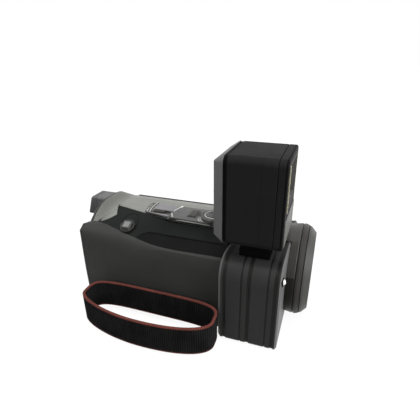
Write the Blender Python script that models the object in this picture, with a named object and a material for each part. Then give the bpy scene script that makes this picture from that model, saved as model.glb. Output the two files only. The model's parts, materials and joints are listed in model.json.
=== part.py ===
"""A handheld camcorder with a video light on its shoe, built as an assembly of separate pieces.

Frame: +X is the way the lens looks, +Y is the side of the folding screen, +Z is up.
The camcorder stands on z = 0, and the origin is on its base, beside the tripod socket.
"""

import math

import bmesh
import bpy
from mathutils import Matrix, Vector

MM = 0.001

# Clearances and walls
SEAM = 0.3 * MM
RUNNING_GAP = 0.3 * MM
SLIDE_GAP = 0.4 * MM
WALL = 2.2 * MM
ROUND_STEPS = 48
CORNER_STEPS = 4

# Body shell, measured from its rear face
BODY_REAR = -75.2 * MM
BODY_LENGTH = 111.4 * MM
BODY_TOP = 74.0 * MM
BODY_LEFT = 27.0 * MM
GRIP_SIDE = 36.8 * MM
GRIP_FOOT = 30.5 * MM
FOOT_RADIUS = 5.0 * MM
COVER_SPLIT_Z = 62.0 * MM
BASE_THICKNESS = 2.5 * MM
REAR_THICKNESS = 2.7 * MM
COWL_LENGTH = 12.6 * MM
COWL_RISE = 2.0 * MM
COVER_EDGE = 2.8 * MM
PANEL_RIM = 0.5 * MM
NOTCH_LENGTH = 7.0 * MM
NOTCH_SHARE = 0.45

# Lines that run along the right side: (distance from the rear face, y, z)
SHOULDER_LINE = [
    (0.0 * MM, -36.6 * MM, 64.4 * MM),
    (37.0 * MM, -35.2 * MM, 57.8 * MM),
    (63.0 * MM, -36.2 * MM, 55.8 * MM),
    (BODY_LENGTH, -36.2 * MM, 55.8 * MM),
]
GRIP_EDGE_LINE = [
    (0.0 * MM, -22.0 * MM, 65.0 * MM),
    (13.0 * MM, -25.0 * MM, 67.2 * MM),
    (37.0 * MM, -29.6 * MM, 63.6 * MM),
    (63.0 * MM, -33.0 * MM, 59.8 * MM),
    (BODY_LENGTH, -33.0 * MM, 59.8 * MM),
]
CREASE_LINE = [
    (0.0 * MM, -20.6 * MM, 65.7 * MM),
    (17.0 * MM, -24.1 * MM, 67.2 * MM),
    (35.0 * MM, -27.7 * MM, 64.7 * MM),
    (43.0 * MM, -28.4 * MM, 63.2 * MM),
    (52.0 * MM, -24.2 * MM, 62.6 * MM),
    (60.0 * MM, -21.6 * MM, 62.3 * MM),
    (BODY_LENGTH, -21.0 * MM, 62.2 * MM),
]
COVER_EDGE_LINE = [
    (0.0 * MM, -3.0 * MM, BODY_TOP),
    (17.0 * MM, -5.5 * MM, BODY_TOP),
    (37.0 * MM, -10.5 * MM, BODY_TOP),
    (69.0 * MM, -17.0 * MM, BODY_TOP - 1.8 * MM),
    (BODY_LENGTH, -17.5 * MM, BODY_TOP - 1.8 * MM),
]

# Lens housing at the front of the body
HOUSING_LENGTH = 41.0 * MM
HOUSING_RIGHT = 43.5 * MM
HOUSING_LEFT = 44.5 * MM
HOUSING_TOP = 63.5 * MM
HOUSING_TOP_RADIUS = 14.0 * MM
HOUSING_FOOT_RADIUS = 4.0 * MM
HOUSING_WALL = 3.0 * MM
HOUSING_SPLIT = 20.6 * MM
HOUSING_BEVEL = 1.8 * MM
BULKHEAD_LAP = 8.0 * MM
GROOVE_DEPTH = 0.4 * MM
GROOVE_FLANK = 0.3 * MM
WIDE_GROOVE = 2.0 * MM
FINE_GROOVE = 0.5 * MM

# Lens
LENS_Y = 12.6 * MM
LENS_FROM_TOP = 29.2 * MM
BARREL_RADIUS = 34.1 * MM
BARREL_LENGTH = 5.6 * MM
BARREL_FLARE = 0.8 * MM
CROWN_LENGTH = 10.0 * MM
BARREL_BORE = 26.5 * MM
BARREL_FLANGE = 1.5 * MM
NECK_RADIUS = 24.0 * MM
NECK_BORE = 22.0 * MM
NECK_LENGTH = 30.0 * MM
NOSE_RADIUS = 30.0 * MM
FOCUS_RING_LENGTH = 4.2 * MM
RING_FLAT = 1.8 * MM
RING_TAPER = 0.8 * MM
HOOD_LENGTH = 5.0 * MM
HOOD_SHOULDER = 1.6 * MM
HOOD_CHAMFER = 4.5 * MM
HOOD_BORE = 27.0 * MM
LENS_TUBE_RADIUS = 11.4 * MM
LENS_TUBE_WALL = 1.6 * MM
LENS_TUBE_LENGTH = 60.0 * MM
LENS_TUBE_LAP = 4.0 * MM
REAR_GLASS_SETBACK = 8.0 * MM
REAR_GLASS_THICKNESS = 4.0 * MM
FRONT_GLASS_RADIUS = 21.0 * MM
FRONT_GLASS_THICKNESS = 3.8 * MM
GLASS_DOME = 2.5 * MM
GLASS_FORWARD = 1.8 * MM
SENSOR_SIDE = 14.0 * MM
SENSOR_THICKNESS = 3.5 * MM
MOTOR_RADIUS = 5.0 * MM
MOTOR_LENGTH = 20.0 * MM
LAMP_RADIUS = 2.0 * MM
LAMP_HEIGHT = 1.8 * MM
LAMP_FROM_SIDE = 4.9 * MM
LAMP_FROM_TOP = 9.8 * MM

# Folding screen on the left
SCREEN_LENGTH = 93.0 * MM
SCREEN_HEIGHT = 57.2 * MM
SCREEN_FOOT_Z = 9.0 * MM
SCREEN_THICKNESS = 10.0 * MM
SCREEN_CORNER = 4.0 * MM
SCREEN_BORDER = 6.0 * MM
BEZEL_THICKNESS = 2.4 * MM
PANEL_THICKNESS = 1.4 * MM
HINGE_RADIUS = 4.6 * MM
HINGE_PIN_RADIUS = 1.5 * MM
HINGE_EAR = 5.0 * MM
HINGE_SETBACK = 1.2 * MM
HINGE_BARREL_LENGTH = 34.0 * MM

# Viewfinder at the rear
FINDER_WIDTH = 17.0 * MM
FINDER_HEIGHT = 16.2 * MM
FINDER_FOOT_Z = 57.6 * MM
FINDER_Y = 11.5 * MM
FINDER_OUT = 11.0 * MM
FINDER_IN = 28.0 * MM
FINDER_CORNER = 2.0 * MM
STEM_INSET = 2.6 * MM
STEM_DROP = 1.2 * MM
EYECUP_LENGTH = 5.0 * MM
EYECUP_SLANT = 5.0 * MM
EYECUP_EDGE = 0.7 * MM

# Battery at the rear
BATTERY_WIDTH = 34.0 * MM
BATTERY_HEIGHT = 38.0 * MM
BATTERY_LENGTH = 40.0 * MM
BATTERY_OUT = 8.0 * MM
BATTERY_Y = 5.0 * MM
BATTERY_FOOT_Z = 8.0 * MM
BATTERY_CORNER = 3.0 * MM
BAY_WALL = 1.5 * MM

# Controls on the top and the thumb panel
CONTROL_Y = -5.4 * MM
CONTROL_FAR = 7.6 * MM
PLATES_FROM_FRONT = 3.9 * MM
MODE_PLATE_LENGTH = 21.0 * MM
ZOOM_PLATE_LENGTH = 44.0 * MM
PLATE_THICKNESS = 1.6 * MM
PLATE_PROUD = 0.3 * MM
SWITCH_FROM_REAR = 6.5 * MM
SWITCH_Y = -7.0 * MM
SWITCH_LENGTH = 9.0 * MM
SWITCH_WIDTH = 4.0 * MM
SWITCH_TRAVEL = 4.0 * MM
ZOOM_RADIUS = 9.4 * MM
ZOOM_HUB_RADIUS = 6.7 * MM
ZOOM_FROM_FRONT = 11.3 * MM
ZOOM_HEIGHT = 3.4 * MM
ZOOM_TAB = 0.8 * MM
PHOTO_RADIUS = 5.6 * MM
PHOTO_TRAVEL = 0.8 * MM
RECORD_SIDE = 6.4 * MM
RECORD_TRAVEL = 1.0 * MM
RECORD_FROM_REAR = 35.2 * MM
RECORD_SHARE = 0.2
BEZEL_RADIUS = 5.8 * MM
WINDOW_FROM_REAR = 13.7 * MM
WINDOW_LENGTH = 5.4 * MM
WINDOW_Y = -3.0 * MM
WINDOW_WIDTH = 10.4 * MM

# Shoe and video light on the lens housing
SHOE_LENGTH = 20.0 * MM
SHOE_WIDTH = 22.0 * MM
SHOE_FROM_REAR = 11.0 * MM
SHOE_Y = -21.0 * MM
SHOE_PLATE = 1.2 * MM
SHOE_LIP = 1.2 * MM
FOOT_WIDTH = 18.6 * MM
FOOT_THICKNESS = 2.0 * MM
LIGHT_GAP = 12.2 * MM
LIGHT_LENGTH = 43.5 * MM
LIGHT_BEHIND = 25.2 * MM
LIGHT_WIDTH = 44.3 * MM
LIGHT_HEIGHT = 56.4 * MM
LIGHT_CORNER = 4.6 * MM
LIGHT_WALL = 2.0 * MM
LIGHT_BACK_LENGTH = 6.6 * MM
LIGHT_BACK_BEVEL = 4.2 * MM
LIGHT_BAND = 1.9 * MM
LIGHT_LINE_FROM_REAR = 29.0 * MM
LIGHT_LINE_WIDTH = 0.3 * MM
LIGHT_BEZEL_LENGTH = 5.4 * MM
LIGHT_WINDOW_BORDER = 4.5 * MM
LIGHT_PANEL_HEIGHT = 25.8 * MM
DIFFUSER_SETBACK = 3.6 * MM
DIFFUSER_THICKNESS = 1.6 * MM
LED_BOARD_THICKNESS = 1.6 * MM
DIMMER_RADIUS = 6.0 * MM
DIMMER_LENGTH = 4.0 * MM

# Hand strap on the right
STRAP_WIDTH = 21.4 * MM
STRAP_FOOT_Z = 1.2 * MM
STRAP_THICKNESS = 2.0 * MM
STRAP_LENGTH = 103.0 * MM
STRAP_DEPTH = 32.2 * MM
STRAP_RISE = 3.8 * MM
STRAP_FORWARD = 2.0 * MM
LUG_THICKNESS = 1.6 * MM
LUG_LENGTH = 14.0 * MM
LUG_HEIGHT = 12.0 * MM
LUG_SPACING = 62.0 * MM

# Base fittings
SOCKET_FROM_FRONT = 24.2 * MM
SOCKET_BORE = 2.55 * MM
SOCKET_RADIUS = 7.0 * MM
SOCKET_HEIGHT = 6.0 * MM
BOARD_THICKNESS = 1.6 * MM
BOARD_HEIGHT = 48.0 * MM
BOARD_LENGTH = 62.0 * MM
BOARD_Y = -20.0 * MM

# Places that follow from the sizes above
BODY_FRONT = BODY_REAR + BODY_LENGTH
SHELL_REAR = BODY_REAR + REAR_THICKNESS + SEAM
COWL_FRONT = SHELL_REAR + COWL_LENGTH
HOUSING_REAR = BODY_FRONT + SEAM
LENS_Z = HOUSING_TOP - LENS_FROM_TOP
HOUSING_FRONT = HOUSING_REAR + HOUSING_LENGTH
BARREL_REAR = HOUSING_FRONT + SEAM
BARREL_FRONT = BARREL_REAR + BARREL_LENGTH
GLASS_FRONT = BARREL_FRONT + GLASS_FORWARD
RING_REAR = BARREL_FRONT + RUNNING_GAP
RING_FRONT = RING_REAR + FOCUS_RING_LENGTH
HOOD_REAR = RING_FRONT + RUNNING_GAP
HOOD_FRONT = HOOD_REAR + HOOD_LENGTH
NECK_REAR = BARREL_REAR - NECK_LENGTH
SCREEN_INNER = BODY_LEFT + SEAM + 0.4 * MM
SCREEN_OUTER = SCREEN_INNER + SCREEN_THICKNESS
HINGE_Y = SCREEN_INNER + SCREEN_THICKNESS / 2
HINGE_X = BODY_FRONT - HINGE_RADIUS - HINGE_SETBACK
SCREEN_FRONT = HINGE_X - HINGE_RADIUS - SEAM
SCREEN_MID_Z = SCREEN_FOOT_Z + SCREEN_HEIGHT / 2
SHOE_X = HOUSING_REAR + SHOE_FROM_REAR + SHOE_LENGTH / 2
SHOE_Z = HOUSING_TOP + SEAM
LIGHT_FOOT_Z = HOUSING_TOP + LIGHT_GAP
LIGHT_REAR = SHOE_X - LIGHT_BEHIND
LIGHT_MID_Z = LIGHT_FOOT_Z + LIGHT_HEIGHT / 2
RECORD_X = BODY_REAR + RECORD_FROM_REAR
ZOOM_PLATE_X = BODY_FRONT - PLATES_FROM_FRONT - ZOOM_PLATE_LENGTH
MODE_PLATE_X = ZOOM_PLATE_X - SEAM - MODE_PLATE_LENGTH
ZOOM_X = ZOOM_PLATE_X + ZOOM_PLATE_LENGTH - ZOOM_FROM_FRONT
PLATE_TOP = BODY_TOP + PLATE_PROUD
STRAP_CENTRE_X = BODY_FRONT + STRAP_FORWARD - STRAP_LENGTH / 2
STRAP_NEAR = -GRIP_SIDE - LUG_THICKNESS - 2 * SEAM
SOCKET_X = BODY_FRONT - SOCKET_FROM_FRONT


# Finishes

def finish(name, colour, roughness, metallic=0.0):
    """A Principled material of one colour."""
    material = bpy.data.materials.new(name)
    material.use_nodes = True
    shader = material.node_tree.nodes["Principled BSDF"]
    shader.inputs["Base Color"].default_value = (*colour, 1.0)
    shader.inputs["Roughness"].default_value = roughness
    shader.inputs["Metallic"].default_value = metallic
    material.diffuse_color = (*colour, 1.0)
    return material


# Outlines

def arc(centre, radius, start, end, steps):
    """Points on an arc, both ends included; the angles are in degrees."""
    points = []
    for step in range(steps + 1):
        angle = math.radians(start + (end - start) * step / steps)
        points.append((centre[0] + radius * math.cos(angle), centre[1] + radius * math.sin(angle)))
    return points


def rounded_box(low, high, radii, steps=CORNER_STEPS):
    """A rectangle with its own radius at each corner: low-low, high-low, high-high, low-high."""
    (a0, b0), (a1, b1) = low, high
    corners = ((a0, b0, 180), (a1, b0, 270), (a1, b1, 0), (a0, b1, 90))
    outline = []
    for (a, b, start), radius in zip(corners, radii):
        centre = (a + radius if a == a0 else a - radius, b + radius if b == b0 else b - radius)
        outline += arc(centre, radius, start, start + 90, steps)
    return outline


def on_line(stations, x):
    """The (y, z) of a side line at x, on a smooth curve through its stations."""
    s = x - BODY_REAR
    last = len(stations) - 1
    index = 0
    while index < last - 1 and s > stations[index + 1][0]:
        index += 1
    here, there = stations[index], stations[index + 1]
    before, after = stations[max(index - 1, 0)], stations[min(index + 2, last)]
    span = there[0] - here[0]
    t = (s - here[0]) / span
    found = []
    for k in (1, 2):
        leave = (there[k] - before[k]) / (there[0] - before[0]) * span
        arrive = (after[k] - here[k]) / (after[0] - here[0]) * span
        found.append(
            (2 * t**3 - 3 * t**2 + 1) * here[k]
            + (t**3 - 2 * t**2 + t) * leave
            + (3 * t**2 - 2 * t**3) * there[k]
            + (t**3 - t**2) * arrive
        )
    return tuple(found)


def right_of(start, end):
    """The unit direction to the right of a step from start to end."""
    length = math.hypot(end[0] - start[0], end[1] - start[1])
    return ((end[1] - start[1]) / length, -(end[0] - start[0]) / length)


def moved_in(line, wall, first_run=None, last_run=None):
    """An open line moved to its right; a run, where given, is the step its end face is square to."""
    normals = [right_of(*step) for step in zip(line, line[1:])]
    opening = right_of(*first_run) if first_run else normals[0]
    closing = right_of(*last_run) if last_run else normals[-1]
    before, after = [opening, *normals], [*normals, closing]
    before[-1] = closing
    after[0] = opening
    inner = []
    for (a, b), first, second in zip(line, before, after):
        share = 1 + first[0] * second[0] + first[1] * second[1]
        inner.append((a + wall * (first[0] + second[0]) / share, b + wall * (first[1] + second[1]) / share))
    return inner


def thickened(line, wall, first_run=None, last_run=None):
    """The closed outline of a wall whose outer face is an open line, with its inside on the right."""
    return line + moved_in(line, wall, first_run, last_run)[::-1]


def shrunk(outline, by):
    """A closed outline that runs counter-clockwise, moved inwards."""
    ring = [outline[-1], *outline, outline[0]]
    return moved_in(ring[::-1], by)[-2:0:-1]


# Meshes

def placed(axis, along, pair):
    """A point at a distance along an axis, with its other two coordinates in X, Y, Z order."""
    values = list(pair)
    values.insert("XYZ".index(axis), along)
    return Vector(values)


def loft(axis, rings):
    """A closed skin over rings of equal counts; each ring is (distance along the axis, outline)."""
    mesh = bmesh.new()
    loops = [[mesh.verts.new(placed(axis, along, pair)) for pair in outline] for along, outline in rings]
    for first, second in zip(loops, loops[1:]):
        for index in range(len(first)):
            after = (index + 1) % len(first)
            mesh.faces.new((first[index], first[after], second[after], second[index]))
    mesh.faces.new(loops[0][::-1])
    mesh.faces.new(loops[-1])
    return mesh


def prism(axis, low, high, outline):
    """An outline pushed from low to high along an axis."""
    return loft(axis, [(low, outline), (high, outline)])


def block(low, high, bevel=0.0):
    """A box between two corners, with rounded edges where a bevel is given."""
    mesh = bmesh.new()
    bmesh.ops.create_cube(mesh, size=1.0)
    size = Vector(high) - Vector(low)
    bmesh.ops.scale(mesh, vec=size, verts=mesh.verts)
    bmesh.ops.translate(mesh, vec=(Vector(high) + Vector(low)) / 2, verts=mesh.verts)
    if bevel:
        bmesh.ops.bevel(mesh, geom=mesh.edges[:], offset=bevel, segments=2, profile=0.5, affect="EDGES")
    return mesh


def turned(axis, centre, profile, steps=ROUND_STEPS):
    """A closed profile of (distance along the axis, radius), spun about the axis through centre."""
    mesh = bmesh.new()
    start = {"X": (1, 2), "Y": (2, 0), "Z": (0, 1)}[axis][0]
    middle = placed(axis, 0.0, centre)
    verts = []
    for along, radius in profile:
        point = placed(axis, along, centre)
        point[start] += radius
        verts.append(mesh.verts.new(point))
    edges = [mesh.edges.new((verts[i], verts[(i + 1) % len(verts)])) for i in range(len(verts))]
    bmesh.ops.spin(
        mesh,
        geom=verts + edges,
        cent=middle,
        axis=placed(axis, 1.0, (0.0, 0.0)),
        angle=2 * math.pi,
        steps=steps,
        use_merge=True,
    )
    bmesh.ops.remove_doubles(mesh, verts=mesh.verts, dist=1e-7)
    bmesh.ops.dissolve_degenerate(mesh, dist=1e-7, edges=mesh.edges)
    bmesh.ops.delete(mesh, geom=[edge for edge in mesh.edges if edge.is_wire], context="EDGES")
    return mesh


def tube(axis, centre, low, high, bore, radius, steps=ROUND_STEPS):
    """A plain ring from low to high."""
    return turned(axis, centre, [(low, bore), (high, bore), (high, radius), (low, radius)], steps)


def disc(axis, centre, low, high, radius, steps=ROUND_STEPS):
    """A plain round rod from low to high."""
    return turned(axis, centre, [(low, 0.0), (high, 0.0), (high, radius), (low, radius)], steps)


def add(name, mesh, material, pivot=(0.0, 0.0, 0.0), turn=None):
    """One named piece, with its origin on its pivot."""
    bmesh.ops.recalc_face_normals(mesh, faces=mesh.faces)
    if turn is not None:
        bmesh.ops.transform(mesh, matrix=turn, verts=mesh.verts)
    else:
        bmesh.ops.translate(mesh, vec=-Vector(pivot), verts=mesh.verts)
    data = bpy.data.meshes.new(name)
    mesh.to_mesh(data)
    mesh.free()
    data.shade_smooth()
    data.set_sharp_from_angle(angle=math.radians(32))
    piece = bpy.data.objects.new(name, data)
    piece.location = pivot
    if material is not None:
        data.materials.append(material)
    bpy.context.scene.collection.objects.link(piece)
    return piece


def combine(piece, mesh, operation="DIFFERENCE", turn=None):
    """Cuts a helper shape from a piece, or joins it on."""
    helper = add(f"{piece.name}_{operation.lower()}_{len(piece.modifiers)}", mesh, None, turn=turn)
    helper.hide_render = True
    helper.display_type = "WIRE"
    modifier = piece.modifiers.new(helper.name, "BOOLEAN")
    modifier.operation = operation
    modifier.object = helper
    return piece


# Sections of the body shell at a distance x

def edge_run(x):
    """The step from the grip's inner edge to the thumb panel's crease."""
    return on_line(GRIP_EDGE_LINE, x), on_line(CREASE_LINE, x)


def grip_line(x):
    """The right side from the base up and over its shoulder to the grip's inner edge."""
    shoulder, edge = on_line(SHOULDER_LINE, x), on_line(GRIP_EDGE_LINE, x)
    foot = arc((-GRIP_FOOT, FOOT_RADIUS), FOOT_RADIUS, 270, 185, CORNER_STEPS)
    span = edge[0] - shoulder[0]
    middle = ((shoulder[0] + edge[0]) / 2, (shoulder[1] + edge[1]) / 2)
    crown = (middle[0] - 0.1 * span - 0.2 * MM, middle[1] + 0.15 * span + 0.7 * MM)
    side = [
        (-GRIP_SIDE + 0.4 * MM, 14.0 * MM),
        (-GRIP_SIDE, 28.0 * MM),
        (-GRIP_SIDE, 42.0 * MM),
        (-GRIP_SIDE + 0.2 * MM, shoulder[1] - 6.0 * MM),
    ]
    return [*foot, *side, shoulder, crown, edge]


def grip_ring(x):
    """The grip shell's wall."""
    return thickened(grip_line(x), WALL, last_run=edge_run(x))


def notch_share(x):
    """How far up the slope the thumb panel reaches into the rear cowl at x."""
    return NOTCH_SHARE * min(max((x - COWL_FRONT + NOTCH_LENGTH) / NOTCH_LENGTH, 0.0), 1.0)


def thumb_line(x):
    """The dark panel from the grip's edge, along its ledge and up beside the top cover."""
    edge, crease, cover = on_line(GRIP_EDGE_LINE, x), on_line(CREASE_LINE, x), on_line(COVER_EDGE_LINE, x)
    run = Vector(crease) - Vector(edge)
    start = Vector(edge) + run.normalized() * SEAM
    end = Vector((cover[0], cover[1] - PANEL_RIM))
    if x < COWL_FRONT + SEAM / 2:
        end = start.lerp(end, notch_share(x))
        crease = tuple(start.lerp(end, 0.5))
    return [tuple(start), crease, tuple(end)]


def thumb_ring(x):
    """The thumb panel's wall."""
    return thickened(thumb_line(x), WALL)


def left_shoulder(top):
    """The rounded left edge of the silver covers, from a flat top down to the left cover."""
    return [
        (BODY_LEFT - 13.0 * MM, top),
        (BODY_LEFT - 7.0 * MM, top - 1.0 * MM),
        (BODY_LEFT - 2.6 * MM, top - 4.4 * MM),
        (BODY_LEFT - 0.4 * MM, top - 8.6 * MM),
        (BODY_LEFT, COVER_SPLIT_Z),
    ]


def cover_core(x):
    """The silver top from its right edge to the left side, with a sharp right edge."""
    edge = moved_in(thumb_line(x), WALL + SEAM)[-1][0] + SEAM
    return [(edge, BODY_TOP - COVER_EDGE), (edge, BODY_TOP), *left_shoulder(BODY_TOP)]


def cover_ring(x):
    """The silver top's wall, with a bevel on its right edge."""
    core = cover_core(x)
    edge = core[0][0]
    bevel = [(edge, BODY_TOP - 0.9 * MM), (edge + 0.9 * MM, BODY_TOP)]
    return [core[0], *bevel, *core[2:], *moved_in(core, WALL)[::-1]]


def cowl_line(x):
    """The silver rear cowl, which comes down to the grip's edge or to the thumb panel's notch."""
    edge, crease = on_line(GRIP_EDGE_LINE, x), on_line(CREASE_LINE, x)
    rise = max(COWL_FRONT - x, 0.0) / COWL_LENGTH
    top = BODY_TOP + COWL_RISE * rise
    run = (Vector(crease) - Vector(edge)).normalized()
    start = Vector(edge) + run * SEAM
    reach = BODY_LEFT - 30.0 * MM - start[0]
    low = notch_share(x)
    low += 2 * SEAM / reach if low else 0.0
    slope = []
    for step in range(5):
        share = low + (1 - low) * step / 4
        slope.append((start[0] + reach * share, top - (top - start[1]) * (1 - share) ** 1.7))
    return [*slope, *left_shoulder(top)]


def cowl_ring(x):
    """The rear cowl's wall."""
    return thickened(cowl_line(x), WALL, first_run=edge_run(x))


def left_line():
    """The left side from the silver covers down to the base."""
    foot = arc((BODY_LEFT - FOOT_RADIUS / 2, FOOT_RADIUS / 2), FOOT_RADIUS / 2, 0, -90, CORNER_STEPS)
    return [(BODY_LEFT, COVER_SPLIT_Z - SEAM), *foot]


def shell(ring_at, rear, front, stations):
    """A wall lofted along the body through evenly spaced sections."""
    places = [rear + (front - rear) * step / stations for step in range(stations + 1)]
    return loft("X", [(x, ring_at(x)) for x in places])


def thumb_mesh():
    """The thumb panel: a tail that runs back into the cowl's notch, then its full height."""
    tail = [COWL_FRONT - NOTCH_LENGTH * share for share in (0.8, 0.4, 0.0)]
    start, steps = COWL_FRONT + SEAM, 14
    full = [start + (BODY_FRONT - start) * step / steps for step in range(steps + 1)]
    return loft("X", [(x, thumb_ring(x)) for x in tail + full])


# Body pieces

def make_body(grey, black, silver, steel):
    """The covers that close the camcorder's body."""
    add("grip_shell", shell(grip_ring, SHELL_REAR, BODY_FRONT, 14), grey)
    panel = add("thumb_panel", thumb_mesh(), black)
    cover = add("top_cover", shell(cover_ring, COWL_FRONT + SEAM, BODY_FRONT, 10), silver)
    add("rear_cowl", shell(cowl_ring, SHELL_REAR, COWL_FRONT, 8), silver)
    add("left_cover", prism("X", SHELL_REAR, BODY_FRONT, thickened(left_line(), WALL)), black)
    make_base(black, steel)
    make_rear_cover(black)
    make_bulkhead(black)
    return cover, panel


def make_base(black, steel):
    """The base plate with its tripod socket."""
    right, left = -GRIP_FOOT + 3 * SEAM, BODY_LEFT - FOOT_RADIUS / 2 - 3 * SEAM
    outline = rounded_box((SHELL_REAR, right), (BODY_FRONT, left), (MM, MM, MM, MM), 2)
    base = add("base_plate", prism("Z", 0.0, BASE_THICKNESS, outline), black)
    seat = SOCKET_RADIUS + SEAM
    combine(base, disc("Z", (SOCKET_X, 0.0), -MM, BASE_THICKNESS + MM, seat, 24))
    flange = BASE_THICKNESS + SEAM
    profile = [
        (0.0, SOCKET_BORE),
        (SOCKET_HEIGHT, SOCKET_BORE),
        (SOCKET_HEIGHT, SOCKET_RADIUS + 2.0 * MM),
        (flange, SOCKET_RADIUS + 2.0 * MM),
        (flange, SOCKET_RADIUS),
        (0.0, SOCKET_RADIUS),
    ]
    add("tripod_socket", turned("Z", (SOCKET_X, 0.0), profile, 24), steel)


def rear_outline():
    """The whole outline of the body at its rear, counter-clockwise seen from behind."""
    x = SHELL_REAR
    right = grip_line(x)
    cowl = cowl_line(x)
    return [*right, *cowl[1:], *left_line()[1:]]


def make_rear_cover(black):
    """The rear cover with its openings for the viewfinder and the battery, and the battery's bay."""
    outline = rear_outline()[::-1]
    full = BODY_REAR + REAR_THICKNESS
    rings = [
        (BODY_REAR, shrunk(outline, 1.4 * MM)),
        (BODY_REAR + 0.5 * MM, shrunk(outline, 0.6 * MM)),
        (BODY_REAR + 1.4 * MM, shrunk(outline, 0.2 * MM)),
        (full, shrunk(outline, 0.1 * MM)),
    ]
    cover = add("rear_cover", loft("X", rings), black)
    hole = rounded_box(*stem_box(SLIDE_GAP), (MM,) * 4)
    combine(cover, prism("X", BODY_REAR - 5 * MM, full + 5 * MM, hole))
    low, high = battery_box(SLIDE_GAP)
    hole = rounded_box(low, high, (BATTERY_CORNER,) * 4)
    combine(cover, prism("X", BODY_REAR - 5 * MM, full + 5 * MM, hole))
    inside = rounded_box(low, high, (BATTERY_CORNER,) * 4)
    outer_low, outer_high = battery_box(SLIDE_GAP + BAY_WALL)
    outside = rounded_box(outer_low, outer_high, (BATTERY_CORNER + BAY_WALL,) * 4)
    depth = BATTERY_LENGTH - BATTERY_OUT - REAR_THICKNESS + SLIDE_GAP
    bay = add("battery_bay", prism("X", full + SEAM, full + SEAM + depth + BAY_WALL, outside), black)
    combine(bay, prism("X", full - 2 * MM, full + SEAM + depth, inside))


def make_bulkhead(black):
    """The plate that closes the body's front above the lens housing."""
    inner = moved_in(cover_core(BODY_FRONT), WALL + SEAM)
    foot = HOUSING_TOP - BULKHEAD_LAP
    outline = [(inner[0][0], foot), *inner, (inner[-1][0], foot)]
    add("front_bulkhead", prism("X", BODY_FRONT - WALL, BODY_FRONT, outline), black)


# Lens housing and lens

def housing_outline(inset):
    """The rounded front view of the lens housing, drawn in on every side by inset."""
    top, foot = HOUSING_TOP_RADIUS - inset, HOUSING_FOOT_RADIUS - inset
    low = (-HOUSING_RIGHT + inset, inset)
    high = (HOUSING_LEFT - inset, HOUSING_TOP - inset)
    return rounded_box(low, high, (foot, foot, top, top), 6)


def groove(start, width):
    """Stations of one groove round the housing: (distance from the housing's rear, inset)."""
    return [
        (start, 0.0),
        (start + GROOVE_FLANK, GROOVE_DEPTH),
        (start + GROOVE_FLANK + width, GROOVE_DEPTH),
        (start + 2 * GROOVE_FLANK + width, 0.0),
    ]


def make_housing(black):
    """The two halves of the lens housing, which meet in the deep middle groove."""
    rear = [
        (0.0, HOUSING_BEVEL),
        (HOUSING_BEVEL, 0.0),
        *groove(HOUSING_BEVEL + 1.2 * MM, WIDE_GROOVE),
        *groove(15.2 * MM, FINE_GROOVE),
        (HOUSING_SPLIT - WIDE_GROOVE / 2 - GROOVE_FLANK, 0.0),
        (HOUSING_SPLIT - WIDE_GROOVE / 2, GROOVE_DEPTH),
        (HOUSING_SPLIT, GROOVE_DEPTH),
    ]
    front = [
        (HOUSING_SPLIT + SEAM, GROOVE_DEPTH),
        (HOUSING_SPLIT + SEAM + WIDE_GROOVE / 2, GROOVE_DEPTH),
        (HOUSING_SPLIT + SEAM + WIDE_GROOVE / 2 + GROOVE_FLANK, 0.0),
        *groove(HOUSING_LENGTH - 8.7 * MM, FINE_GROOVE),
        *groove(HOUSING_LENGTH - HOUSING_BEVEL - 2.9 * MM, WIDE_GROOVE),
        (HOUSING_LENGTH - HOUSING_BEVEL * 0.6, 0.0),
        (HOUSING_LENGTH, HOUSING_BEVEL * 0.8),
    ]
    cavity = housing_outline(HOUSING_WALL)
    split = HOUSING_REAR + HOUSING_SPLIT
    rings = [(HOUSING_REAR + s, housing_outline(inset)) for s, inset in rear]
    piece = add("lens_housing_rear", loft("X", rings), black)
    combine(piece, prism("X", HOUSING_REAR + HOUSING_WALL, split + MM, cavity))
    reach = LENS_TUBE_RADIUS + 3 * MM
    combine(piece, disc("X", (LENS_Y, LENS_Z), HOUSING_REAR - MM, split, reach, 32))
    rings = [(HOUSING_REAR + s, housing_outline(inset)) for s, inset in front]
    piece = add("lens_housing_front", loft("X", rings), black)
    combine(piece, prism("X", split - MM, HOUSING_FRONT - HOUSING_WALL, cavity))
    bore = NECK_RADIUS + RUNNING_GAP
    combine(piece, disc("X", (LENS_Y, LENS_Z), split, HOUSING_FRONT + MM, bore))
    return piece


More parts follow.
